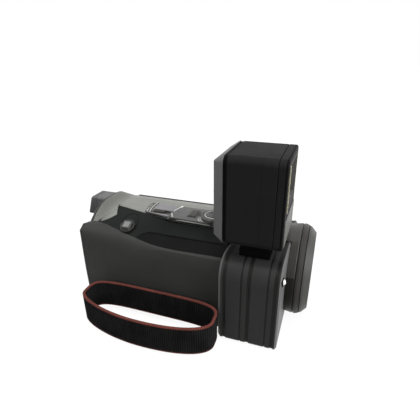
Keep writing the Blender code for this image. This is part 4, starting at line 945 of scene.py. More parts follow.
@dataclass
class SubAssembly:
    """Pieces that are dressed together."""

    body: Body = Body.CAMCORDER

    def dress(self) -> None:
        """Gives the CAD pieces their finishes."""
        raise NotImplementedError

    def build(self) -> None:
        """Adds the pieces that the CAD leaves to the scene."""

    def coat(self, finish: Finish, *nodes: str) -> None:
        """Puts a finish on CAD nodes.

        Args:
            finish: What they are finished in.
            nodes: The nodes' names.
        """
        for node in nodes:
            piece = frame["nodes"][node]
            piece.data.materials.clear()
            piece.data.materials.append(finish.material())

    def keep(self, name: str, mesh: BMesh, finish: Finish, body: Body | None = None,
             sharp: float = 35.0) -> Object:
        """Makes a mesh a finished piece that rides on a body.

        Args:
            name: The piece's name.
            mesh: Its closed mesh, in place.
            finish: What it is finished in.
            body: The CAD body it moves with, or the sub-assembly's own.
            sharp: Edges that turn further than this, in degrees, stay sharp.

        Returns:
            The piece.
        """
        bmesh.ops.recalc_face_normals(mesh, faces=mesh.faces)
        return self.show(name, mesh, finish, (body or self.body).value, sharp)

    def refine(self, finish: Finish, *nodes: str, sharp: float = 30.0) -> None:
        """Puts a smooth-shaded copy with a finish in the place of each CAD node.

        Args:
            finish: What the copies are finished in.
            nodes: The CAD nodes.
            sharp: Edges that turn further than this, in degrees, stay sharp.
        """
        for node in nodes:
            mesh = bmesh.new()
            mesh.from_mesh(frame["nodes"][node].data)
            bmesh.ops.remove_doubles(mesh, verts=mesh.verts, dist=CAD_WELD)
            bmesh.ops.dissolve_limit(mesh, angle_limit=LEVEL, verts=mesh.verts, edges=mesh.edges)
            piece = self.show(f"{node}_skin", mesh, finish, BODY_OF[node], sharp)
            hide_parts(node)

    def show(self, name: str, mesh: BMesh, finish: Finish, body: str, sharp: float) -> Object:
        """Turns a mesh into an object with smooth faces, a finish and a body.

        Args:
            name: The piece's name.
            mesh: Its mesh, in place, with its normals outward.
            finish: What it is finished in.
            body: The name of the CAD body it moves with.
            sharp: Edges that turn further than this, in degrees, stay sharp. Below SOFT_FROM the flat
                faces are also shaded evenly.

        Returns:
            The piece.
        """
        data = bpy.data.meshes.new(name)
        mesh.to_mesh(data)
        mesh.free()
        data.shade_smooth()
        data.set_sharp_from_angle(angle=math.radians(sharp))
        data.materials.append(finish.material())
        piece = bpy.data.objects.new(name, data)
        bpy.context.scene.collection.objects.link(piece)
        if sharp < SOFT_FROM:
            evened = piece.modifiers.new("even_shading", "WEIGHTED_NORMAL")
            evened.mode = "FACE_AREA_WITH_ANGLE"
            evened.keep_sharp = True
        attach(piece, body)
        log.info("%s: %d faces", name, len(data.polygons))
        return piece


@dataclass
class BodyCovers(SubAssembly):
    """The grip shell, the silver top, the left side, the base and the rear."""

    lip_height: float = 0.6 * MM
    lip_sink: float = 0.2 * MM
    lip_inner: Plan = ((-60.6, -4.4), (-60.7, -7.2), (-60.8, -10.5), (-60.9, -14.4), (-62.0, -16.6),
                       (-64.0, -20.0), (-64.8, -22.4))
    lip_outer: Plan = ((-59.0, -5.2), (-58.6, -7.2), (-57.2, -10.5), (-54.7, -15.4), (-57.2, -18.8),
                       (-60.6, -22.3), (-63.0, -24.0))
    contour_radius: float = 0.3 * MM
    contour: Plan = ((-30.0, -28.6), (-28.2, -26.2), (-23.5, -23.2), (-19.1, -21.8), (-13.8, -21.2),
                     (0.6, -20.9), (16.0, -20.8), (33.0, -20.7))
    record_line_radius: float = 0.25 * MM
    record_line: Plan = ((-47.0, -21.0), (-46.6, -18.5), (-45.4, -14.8), (-42.2, -13.0), (-38.0, -13.4),
                         (-35.2, -16.4), (-34.3, -20.0), (-34.4, -23.8), (-35.8, -27.4))
    well_inset: Vector = Vector((8.0 * MM, 7.0 * MM))
    well_profile: Plan = ((0.0, 0.0), (0.08 * MM, 0.0), (0.08 * MM, 2.0 * MM), (0.0, 2.4 * MM))
    thread_radius: float = 2.55 * MM
    thread_tube: float = 0.22 * MM
    thread_heights: tuple[float, ...] = (0.9 * MM, 2.1 * MM, 3.3 * MM, 4.5 * MM)
    speaker_corner: Vector = Vector((-34.0 * MM, 44.0 * MM))
    speaker_rows: int = 5
    speaker_columns: int = 6
    speaker_hole: float = 0.7 * MM
    speaker_rim: float = 0.12 * MM
    speaker_pitch: float = 2.4 * MM
    key_size: Vector = Vector((7.0 * MM, 3.6 * MM, 0.25 * MM))
    key_height: float = 22.0 * MM
    key_places: tuple[float, ...] = (-30.0 * MM, -19.0 * MM, -8.0 * MM)
    socket_cover_size: Vector = Vector((20.0 * MM, 8.0 * MM, 0.5 * MM))
    socket_cover_place: Vector = Vector((-25.0 * MM, 30.0 * MM))
    rear_screw_radius: float = 1.9 * MM
    rear_screw_places: Plan = ((-25.0, 50.0), (-25.0, 10.0))

    def dress(self) -> None:
        """Finishes the covers."""
        self.refine(GRIP_GREY, "grip_shell", sharp=40.0)
        self.refine(PANEL_BLACK, "thumb_panel", sharp=25.0)
        self.refine(SILVER_PAINT, "top_cover", "rear_cowl")
        self.refine(SATIN_BLACK, "left_cover", "rear_cover")
        self.coat(SATIN_BLACK, "base_plate", "front_bulkhead")
        self.coat(DEEP_BLACK, "battery_bay", "strap_lug_front", "strap_lug_rear")
        self.coat(STEEL, "tripod_socket")
        self.coat(BOARD_GREEN, "main_board")

    def build(self) -> None:
        """Adds the cowl's lip, the thumb panel's lines and the fittings of the base, left side and rear."""
        self.add_cowl_lip()
        panel = Seat("thumb_panel")
        self.keep("thumb_contour", draped(panel, self.contour, self.contour_radius), LINE_BLACK)
        self.keep("record_line", draped(panel, self.record_line, self.record_line_radius), LINE_BLACK)
        self.add_base_fittings()
        self.add_left_fittings()
        self.add_rear_fittings()

    def add_cowl_lip(self) -> None:
        """The silver lip that carries the rear cowl out to the notch in the thumb panel."""
        seat = Seat("thumb_panel", "rear_cowl", "grip_shell", "top_cover")
        rows = len(self.lip_inner) - 1
        mesh = bmesh.new()
        bmesh.ops.create_grid(mesh, x_segments=4, y_segments=rows, size=1.0)
        for vert in mesh.verts:
            row, share = round((vert.co.y + 1) * rows / 2), (vert.co.x + 1) / 2
            start, _ = seat.under(*mm(*self.lip_inner[row]))
            end, _ = seat.under(*mm(*self.lip_outer[row]))
            start.z -= self.lip_sink
            end.z += self.lip_height
            vert.co = start.lerp(end, share)
        foot = only(BMVert, bmesh.ops.extrude_face_region(mesh, geom=mesh.faces[:])["geom"])
        bmesh.ops.translate(mesh, verts=foot, vec=(0.0, 0.0, -2 * self.lip_height))
        self.keep("cowl_lip", mesh, SILVER_PAINT)

    def add_base_fittings(self) -> None:
        """Dark discs of painted shade for the screws' wells, and the tripod socket's thread under the base.
        """
        low, high, _ = span("base_plate")
        # Thin dark discs stand in for the shade inside the wells.
        wells = []
        for x in (low.x + self.well_inset.x, high.x - self.well_inset.x):
            for y in (low.y + self.well_inset.y, high.y - self.well_inset.y):
                wells.append(turned(self.well_profile, facing(Vector((x, y, 0.0)), Way.DOWN), 24))
        self.keep("base_screw_well_shade", joined(wells), DEEP_BLACK)
        axis = span("tripod_socket")[2]
        places = [facing(Vector((axis.x, axis.y, z)), Way.UP) for z in self.thread_heights]
        turns = [bead(self.thread_radius, self.thread_tube, place, 32, 6) for place in places]
        self.keep("socket_thread", joined(turns), STEEL)

    def add_left_fittings(self) -> None:
        """Dark rings of painted shade for the speaker's holes, and three keys behind the screen."""
        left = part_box("left_cover")[1].y
        hole, rim = self.speaker_hole, self.speaker_rim
        # Thin dark rings stand in for the shade inside the speaker's holes.
        profile = ((0.0, hole * 0.5), (rim, hole * 0.6), (rim, hole), (0.0, hole * 1.1))
        holes = []
        for row in range(self.speaker_rows):
            for column in range(self.speaker_columns):
                x = self.speaker_corner.x + column * self.speaker_pitch
                z = self.speaker_corner.y - row * self.speaker_pitch
                holes.append(turned(profile, facing(Vector((x, left, z)), Way.LEFT), 10))
        self.keep("speaker_hole_shade", joined(holes), DEEP_BLACK)
        keys = [slab(self.key_size, 1.2 * MM, 0.1 * MM, facing(Vector((x, left, self.key_height)), Way.LEFT))
                for x in self.key_places]
        self.keep("playback_keys", joined(keys), SWITCH_GREY)

    def add_rear_fittings(self) -> None:
        """A socket cover and two screws on the rear."""
        seat = Seat("rear_cover")
        place = facing(*seat.ahead(*self.socket_cover_place))
        self.keep("socket_cover", slab(self.socket_cover_size, 2.0 * MM, 0.25 * MM, place), RUBBER_BLACK)
        places = [seat.ahead(y * MM, z * MM) for y, z in self.rear_screw_places]
        heads = [screw(point, normal, self.rear_screw_radius) for point, normal in places]
        self.keep("rear_screws", joined(heads), STEEL)


@dataclass
class Controls(SubAssembly):
    """The plates, switch, zoom lever and buttons on the top, and the record button."""

    plate_top: float = 74.3 * MM
    rib: float = 0.36 * MM
    rib_pitch: float = 1.1
    rib_line: Plan = ((-31.4, -9.4), (-32.4, -5.4), (-33.0, -1.6), (-33.4, 2.5), (-33.0, 7.2))
    divider: float = 0.576 * MM
    divider_line: Plan = ((-8.2, -13.4), (-10.3, -9.8), (-11.8, -6.5), (-11.9, -4.0), (-11.0, 0.5),
                          (-9.9, 4.9), (-8.4, 8.3))
    trim: float = 0.3 * MM
    trim_arcs: tuple[tuple[float, float, float], ...] = ((9.9, 194.0, 236.0), (11.3, 203.0, 226.0))
    trim_steps: int = 5
    slot: Vector = Vector((13.8 * MM, 4.8 * MM))
    slot_end: float = 0.4 * MM
    slot_depth: float = 1.0 * MM
    patch_size: Vector = Vector((2.2 * MM, 4.4 * MM, 0.4 * MM))
    patch_shift: Vector = Vector((2.2 * MM, 0.8 * MM))
    ring_radius: float = 6.3 * MM
    ring_tube: float = 0.32 * MM
    tread_radii: tuple[float, ...] = (1.0 * MM, 2.0 * MM, 3.0 * MM, 4.0 * MM)
    tread_tube: float = 0.18 * MM
    record_rim_outer: float = 6.6 * MM
    record_rim_inner: float = 5.0 * MM
    record_ring_radius: float = 5.2 * MM

    def dress(self) -> None:
        """Finishes the controls."""
        self.coat(MODE_GREY, "mode_plate")
        self.coat(ZOOM_GREY, "zoom_plate")
        self.refine(KNOB_GREY, "zoom_lever")
        self.coat(PATCH_DARK, "mode_switch")
        self.refine(ZOOM_GREY, "photo_button")
        self.coat(PATCH_DARK, "status_window")
        self.refine(RIDGE_BLACK, "record_bezel")
        self.coat(RECORD_GREY, "record_button")

    def build(self) -> None:
        """Adds the bright ribs, the divider, the switch's track, the window's patches and the rings."""
        self.add_ribs()
        self.add_edge_trim()
        self.add_switch_track()
        self.add_window_frame()
        self.add_zoom_rings()
        self.add_record_ring()

    def on_plates(self, x: float, y: float, drop: float = 0.0) -> Matrix:
        """A place on the plates, or below their upper face."""
        return Matrix.Translation((x, y, self.plate_top - drop))

    def add_ribs(self) -> None:
        """The ribbed rear edge of the mode plate and the divider between the plates."""
        seat = Seat("top_cover", "mode_plate", "zoom_plate")
        kinds = (("mode_ribs", BRIGHT_TRIM, (0, 2)), ("mode_grooves", SWITCH_GREY, (-1, 1, 3)))
        for name, finish, steps in kinds:
            rods = [draped(seat, [(x + step * self.rib_pitch, y) for x, y in self.rib_line], self.rib)
                    for step in steps]
            self.keep(name, joined(rods), finish)
        self.keep("plate_divider", draped(seat, self.divider_line, self.divider), BRIGHT_TRIM)

    def add_edge_trim(self) -> None:
        """Bright bars on the zoom plate that follow the lever's rear side."""
        axis = span("photo_button")[2] / MM
        seat = Seat("zoom_plate")
        bars = []
        for radius, start, end in self.trim_arcs:
            shares = [step / self.trim_steps for step in range(self.trim_steps + 1)]
            angles = [math.radians(start + (end - start) * share) for share in shares]
            plan = [(axis.x + radius * math.cos(turn), axis.y + radius * math.sin(turn)) for turn in angles]
            bars.append(draped(seat, plan, self.trim))
        self.keep("zoom_bars", joined(bars), BRIGHT_TRIM)

    def add_switch_track(self) -> None:
        """The dark floor of the mode switch's slot and the frame round it."""
        low, _, middle = span("mode_switch")
        x, y = low.x + self.slot.x / 2 - self.slot_end, middle.y
        size = self.slot.to_3d() + mm(-0.2, -0.2, 0.15)
        floor = slab(size, 0.9 * MM, 0.0, self.on_plates(x, y, self.slot_depth))
        self.keep("switch_floor", floor, PATCH_DARK)
        outer, inner = self.slot + mm(1.5, 1.5), self.slot + mm(0.5, 0.5)
        rim = frame_slab(outer, inner, 0.25 * MM, 0.08 * MM, self.on_plates(x, y))
        self.keep("switch_frame", rim, SWITCH_GREY)

    def add_window_frame(self) -> None:
        """A frame round the dark window, and a second patch between it and the zoom lever."""
        low, high, middle = span("status_window")
        size = (high - low).to_2d()
        rim = frame_slab(size + mm(1.4, 1.4), size + mm(0.3, 0.3), 0.6 * MM, 0.2 * MM,
                         self.on_plates(middle.x, middle.y))
        self.keep("window_frame", rim, ZOOM_GREY)
        place = self.on_plates(high.x + self.patch_shift.x, middle.y + self.patch_shift.y)
        self.keep("window_patch", slab(self.patch_size, 0.3 * MM, 0.1 * MM, place), PATCH_DARK)

    def add_zoom_rings(self) -> None:
        """A bright ring on the zoom lever and a fine tread on the photo button."""
        _, high, axis = span("photo_button")
        top = Matrix.Translation((axis.x, axis.y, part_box("zoom_lever")[1].z))
        self.keep("zoom_rings", bead(self.ring_radius, self.ring_tube, top), BRIGHT_TRIM, Body.ZOOM)
        place = Matrix.Translation((axis.x, axis.y, high.z))
        tread = [bead(radius, self.tread_tube, place, 48, 6) for radius in self.tread_radii]
        self.keep("photo_tread", joined(tread), KNOB_GREY, Body.PHOTO)

    def add_record_ring(self) -> None:
        """A thin ring on the record button's bezel and a rim on the button."""
        middle = span("record_button")[2]
        point, normal = Seat("record_button").under(middle.x, middle.y - 1.0 * MM)
        centre = middle + normal * ((point - middle).dot(normal))
        rim = frame_slab((self.record_rim_outer,) * 2, (self.record_rim_inner,) * 2, 0.12 * MM, 0.05 * MM,
                         facing(centre, normal))
        self.keep("record_rim", rim, SWITCH_GREY, Body.RECORD)
        foot = span("record_bezel")[2] + normal * 0.5 * MM
        self.keep("record_ring", bead(self.record_ring_radius, 0.2 * MM, facing(foot, normal)), SWITCH_GREY)


@dataclass
class LensHousing(SubAssembly):
    """The grooved housing behind the lens, with its lamp."""

    lamp_sink: float = 0.3 * MM
    lamp_ring: Plan = ((0.0, 2.15 * MM), (0.7 * MM, 2.15 * MM), (0.7 * MM, 2.7 * MM), (0.35 * MM, 3.1 * MM),
                       (0.0, 3.1 * MM))

    def dress(self) -> None:
        """Finishes the housing and its lamp."""
        self.refine(HOUSING_BLACK, "lens_housing_rear", "lens_housing_front")
        self.refine(LAMP_WHITE, "tally_lamp", sharp=50.0)

    def build(self) -> None:
        """Adds a dark ring round the lamp."""
        low, _, middle = span("tally_lamp")
        place = facing(Vector((low.x - self.lamp_sink, middle.y, middle.z)), Way.FRONT)
        self.keep("lamp_ring", turned(self.lamp_ring, place, 32), DEEP_BLACK)


@dataclass
class Lens(SubAssembly):
    """The barrel, focus ring, hood and glass."""

    axis_y: float = 12.6 * MM
    axis_z: float = 34.3 * MM
    facets: int = 96
    line_foot: float = 30.2 * MM
    baffle_depth: float = 3.4 * MM
    baffle_steps: int = 7
    baffle_radius: float = 21.6 * MM
    baffle_flare: float = 3.3 * MM
    bead_radius: float = 28.3 * MM
    bead_tube: float = 0.12 * MM
    seam_height: float = 44.8 * MM
    seam_radius: float = 0.16 * MM
    seam_inset: float = 0.5 * MM

    def dress(self) -> None:
        """Finishes the lens."""
        self.refine(BARREL_GREY, "lens_barrel")
        self.refine(RING_GREY, "focus_ring", sharp=12.0)
        self.refine(HOOD_GREY, "hood_rim", sharp=20.0)
        self.coat(DEEP_BLACK, "lens_retainer", "lens_tube")
        self.coat(LENS_GLASS, "front_lens", "rear_lens")
        self.coat(STEEL, "image_sensor", "zoom_motor")

    def place(self, x: float) -> Matrix:
        """A place on the lens axis that looks to the front."""
        return facing(Vector((x, self.axis_y, self.axis_z)), Way.FRONT)

    def build(self) -> None:
        """Adds the baffle's steps, the barrel's seam and the dark lines beside the focus ring."""
        self.add_baffle()
        self.add_seam()
        low, high, _ = span("focus_ring")
        for name, x, half, radius in (("ring_line_rear", low.x - 0.15 * MM, 0.14 * MM, 33.4 * MM),
                                      ("ring_line_front", high.x + 0.3 * MM, 0.28 * MM, 32.7 * MM)):
            profile = ((-half, self.line_foot), (half, self.line_foot), (half, radius), (-half, radius))
            self.keep(name, turned(profile, self.place(x), self.facets), LINE_BLACK)

    def add_baffle(self) -> None:
        """Fine light-trap steps inside the hood, in front of the glass, and a bead on the hood's edge."""
        depth = self.baffle_depth
        profile = []
        for step in range(self.baffle_steps + 1):
            share = step / self.baffle_steps
            along, radius = depth * share, self.baffle_radius + self.baffle_flare * share
            profile += [(along, radius), (along + 0.05 * MM, radius + 0.3 * MM)]
        profile += [(depth + 0.1 * MM, 26.6 * MM), (depth, 26.7 * MM), (0.0, 22.2 * MM)]
        place = self.place(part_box("lens_retainer")[1].x - depth)
        self.keep("hood_baffle", turned(profile, place, self.facets), DEEP_BLACK)
        front = self.place(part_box("hood_rim")[1].x)
        self.keep("hood_bead", bead(self.bead_radius, self.bead_tube, front, self.facets, 6), HOOD_GREY)

    def add_seam(self) -> None:
        """The parting seam along the near side of the barrel."""
        seat = Seat("lens_barrel")
        rear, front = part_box("lens_housing_front")[1].x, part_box("focus_ring")[0].x
        points = []
        for x in (rear + self.seam_inset, front - self.seam_inset):
            point, normal = seat.across(x, self.seam_height)
            points.append(point - normal * 0.05 * MM)
        path = [points[0], points[0].lerp(points[1], 0.5), points[1]]
        self.keep("barrel_seam", swept(path, self.seam_radius), SWITCH_GREY)


@dataclass
class Screen(SubAssembly):
    """The folding screen and its hinge."""

    body: Body = Body.SCREEN
    field_inset: float = 12.0 * MM
    field_height: float = 0.25 * MM
    lip_inset: float = 5.0 * MM
    lip_width: float = 5.6 * MM
    lip_height: float = 0.5 * MM
    lip_from_outside: float = 3.6 * MM

    def dress(self) -> None:
        """Finishes the screen."""
        self.refine(SATIN_BLACK, "screen_shell", "hinge_barrel", "hinge_ear_lower", "hinge_ear_upper")
        self.coat(SATIN_BLACK, "screen_bezel")
        self.coat(DARK_GLASS, "screen_panel")
        self.coat(STEEL, "hinge_pin")

    def build(self) -> None:
        """Adds the raised field on the screen's outside and the lip along its upper edge."""
        low, high, middle = span("screen_shell")
        size = high - low
        field = Vector((size.x - self.field_inset, size.z - self.field_inset, self.field_height))
        place = facing(Vector((middle.x, high.y, middle.z)), Way.LEFT)
        self.keep("screen_field", slab(field, 3.0 * MM, 0.12 * MM, place), GRIP_GREY)
        lip = Vector((size.x - self.lip_inset, self.lip_width, self.lip_height))
        place = Matrix.Translation((middle.x, high.y - self.lip_from_outside, high.z))
        self.keep("screen_lip", slab(lip, 1.2 * MM, 0.2 * MM, place), SATIN_BLACK)


@dataclass
class Viewfinder(SubAssembly):
    """The sliding viewfinder."""

    body: Body = Body.VIEWFINDER

    def dress(self) -> None:
        """Finishes the viewfinder."""
        self.refine(FINDER_GREY, "viewfinder_tube")
        self.refine(EYECUP_RUBBER, "eyecup")
        self.coat(DARK_GLASS, "eyepiece_lens", "viewfinder_display")


@dataclass
class Battery(SubAssembly):
    """The battery in its bay and its latch."""

    body: Body = Body.BATTERY
    rib_count: int = 5
    rib_size: Vector = Vector((22.0 * MM, 0.9 * MM, 0.4 * MM))
    rib_foot: float = 6.0
    rib_pitch: float = 2.2
    latch_rib: float = 0.7 * MM
    latch_rib_rise: float = 0.35 * MM
    latch_rib_inset: float = 2.0 * MM
    latch_pitch: float = 1.6 * MM

    def dress(self) -> None:
        """Finishes the battery and its latch."""
        self.refine(SATIN_BLACK, "battery_pack")
        self.refine(SWITCH_GREY, "battery_latch")

    def build(self) -> None:
        """Adds the pull ribs on the battery and the latch."""
        low, _, middle = span("battery_pack")
        heights = [low.z + (self.rib_foot + self.rib_pitch * step) * MM for step in range(self.rib_count)]
        ribs = [slab(self.rib_size, 0.4 * MM, 0.2 * MM, facing(Vector((low.x, middle.y, z)), Way.REAR))
                for z in heights]
        self.keep("battery_ribs", joined(ribs), SATIN_BLACK)
        low, high, middle = span("battery_latch")
        size = Vector((self.latch_rib, high.z - low.z - self.latch_rib_inset, self.latch_rib_rise))
        across = [middle.y + (step - 2) * self.latch_pitch for step in range(self.rib_count)]
        ribs = [slab(size, 0.2 * MM, 0.15 * MM, facing(Vector((low.x, y, middle.z)), Way.REAR))
                for y in across]
        self.keep("latch_ribs", joined(ribs), SWITCH_GREY, Body.LATCH)


@dataclass
class VideoLight(SubAssembly):
    """The video light on its shoe."""

    body: Body = Body.LIGHT
    window_low: Vector = Vector((-38.65 * MM, 101.5 * MM))
    window_high: Vector = Vector((-3.35 * MM, 127.6 * MM))
    border: float = 0.9 * MM
    near_bar: float = 0.7 * MM
    far_bar: float = 0.25 * MM
    chin_foot: float = 78.2 * MM
    chin_gap: float = 5.8 * MM
    chin_inset: float = 4.4 * MM
    chin_rise: float = 0.5 * MM
    lamp_rows: int = 4
    lamp_columns: int = 6
    lamp_profile: Plan = ((0.0, 0.0), (0.5 * MM, 0.0), (0.4 * MM, 1.1 * MM), (0.0, 1.7 * MM))
    vent_size: Vector = Vector((24.0 * MM, 0.9 * MM, 0.35 * MM))
    vent_count: int = 6
    vent_from_middle: float = 11.0
    vent_pitch: float = 1.9
    knurl_count: int = 24
    knurl_size: Vector = Vector((0.6 * MM, 2.6 * MM, 0.3 * MM))
    pointer_size: Vector = Vector((0.8 * MM, 3.4 * MM, 0.2 * MM))
    pointer_from_axis: float = 3.0 * MM

    def dress(self) -> None:
        """Finishes the light."""
        self.refine(LIGHT_BLACK, "light_housing", "light_bezel")
        self.refine(LIGHT_GREY, "light_back")
        self.coat(DIFFUSER, "light_diffuser")
        self.coat(BOARD_GREEN, "lamp_board")
        self.coat(FINDER_GREY, "dimmer_knob")
        self.coat(DEEP_BLACK, "light_foot", "accessory_shoe")

    def build(self) -> None:
        """Adds the window's frame and lamps, the front panel, the vents on the back and the dimmer's ribs."""
        self.add_window()
        self.add_chin()
        self.add_lamps()
        self.add_vents()
        self.add_dimmer_ribs()

    def on_front(self, x: float, y: float, z: float) -> Matrix:
        """A place on the light's front whose own X runs to the left and whose own Y runs up."""
        turn = Matrix.Rotation(math.pi / 2, 4, "Z") @ Matrix.Rotation(math.pi / 2, 4, "X")
        return Matrix.Translation((x, y, z)) @ turn

    def window(self) -> tuple[Vector, Vector]:
        """The window's size and middle across the front."""
        return self.window_high - self.window_low, (self.window_high + self.window_low) / 2

    def add_window(self) -> None:
        """The grey rim and liner of the lamp's window and the cream bars at its sides, whose cream on the
        taller near bar is partly trim colour and partly a painted highlight on the frame's near edge.
        """
        front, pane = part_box("light_bezel")[1].x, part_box("light_diffuser")[1].x
        size, middle = self.window()
        outer = (size.x + 2 * self.border, size.y + 2 * self.border)
        rim = frame_slab(outer, size, 0.15 * MM, 0.05 * MM, self.on_front(front, *middle))
        self.keep("lamp_rim", rim, SWITCH_GREY)
        liner = frame_slab(size - mm(0.2, 0.2), size - mm(1.2, 1.2), front - pane - 0.6 * MM, 0.1 * MM,
                           self.on_front(pane + 0.3 * MM, *middle))
        self.keep("lamp_liner", liner, FINDER_GREY)
        bars = []
        # The near bar stands taller than the far one; its cream is partly trim colour and partly a painted
        # highlight.
        for y, rise in ((self.window_low.x - self.border / 2, self.near_bar),
                        (self.window_high.x + self.border / 2, self.far_bar)):
            bar = Vector((self.border, outer[1], rise))
            bars.append(slab(bar, 0.3 * MM, 0.1 * MM, self.on_front(front, y, middle.y)))
        self.keep("lamp_bars", joined(bars), CREAM_TRIM)

    def add_chin(self) -> None:
        """The grey panel below the window, whose lighter grey is partly its own colour and partly a painted
        highlight of the light from the front.
        """
        low, high, middle = span("light_bezel")
        top = self.window_low.y - self.chin_gap
        size = Vector((high.y - low.y - self.chin_inset, top - self.chin_foot, self.chin_rise))
        place = self.on_front(high.x, middle.y, (top + self.chin_foot) / 2)
        self.keep("front_panel", slab(size, 2.0 * MM, 0.2 * MM, place), CHIN_GREY_AND_HIGHLIGHT)

    def add_lamps(self) -> None:
        """The rows of small lamps behind the window."""
        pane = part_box("light_diffuser")[1].x
        size, middle = self.window()
        lamps = []
        for row in range(self.lamp_rows):
            for column in range(self.lamp_columns):
                y = middle.x + (column - (self.lamp_columns - 1) / 2) * size.x / self.lamp_columns
                z = middle.y + (row - (self.lamp_rows - 1) / 2) * size.y / self.lamp_rows
                lamps.append(turned(self.lamp_profile, facing(Vector((pane, y, z)), Way.FRONT), 16))
        self.keep("lamp_lenses", joined(lamps), CREAM_TRIM)

    def add_vents(self) -> None:
        """Two rows of raised cooling bars on the back."""
        low, _, middle = span("light_back")
        bars = []
        for side in (-1, 1):
            for step in range(self.vent_count):
                z = middle.z + side * (self.vent_from_middle + self.vent_pitch * step) * MM
                place = facing(Vector((low.x, middle.y, z)), Way.REAR)
                bars.append(slab(self.vent_size, 0.4 * MM, 0.15 * MM, place))
        self.keep("light_vents", joined(bars), LIGHT_GREY)

    def add_dimmer_ribs(self) -> None:
        """A knurl and a pointer on the dimmer."""
        low, high, middle = span("dimmer_knob")
        radius = (high.z - low.z) / 2 - 0.08 * MM
        across = Matrix.Rotation(math.pi / 2, 4, "Z")
        ribs = []
        for step in range(self.knurl_count):
            angle = TURN * step / self.knurl_count
            out = Vector((0.0, math.cos(angle), math.sin(angle)))
            place = facing(middle + mm(0.2, 0.0, 0.0) + out * radius, out)
            ribs.append(slab(self.knurl_size, 0.0, 0.12 * MM, place @ across))
        self.keep("dimmer_knurl", joined(ribs), FINDER_GREY, Body.DIMMER)
        place = facing(Vector((low.x, middle.y, middle.z + self.pointer_from_axis)), Way.REAR)
        pointer = slab(self.pointer_size, 0.2 * MM, 0.08 * MM, place)
        self.keep("dimmer_pointer", pointer, CREAM_TRIM, Body.DIMMER)


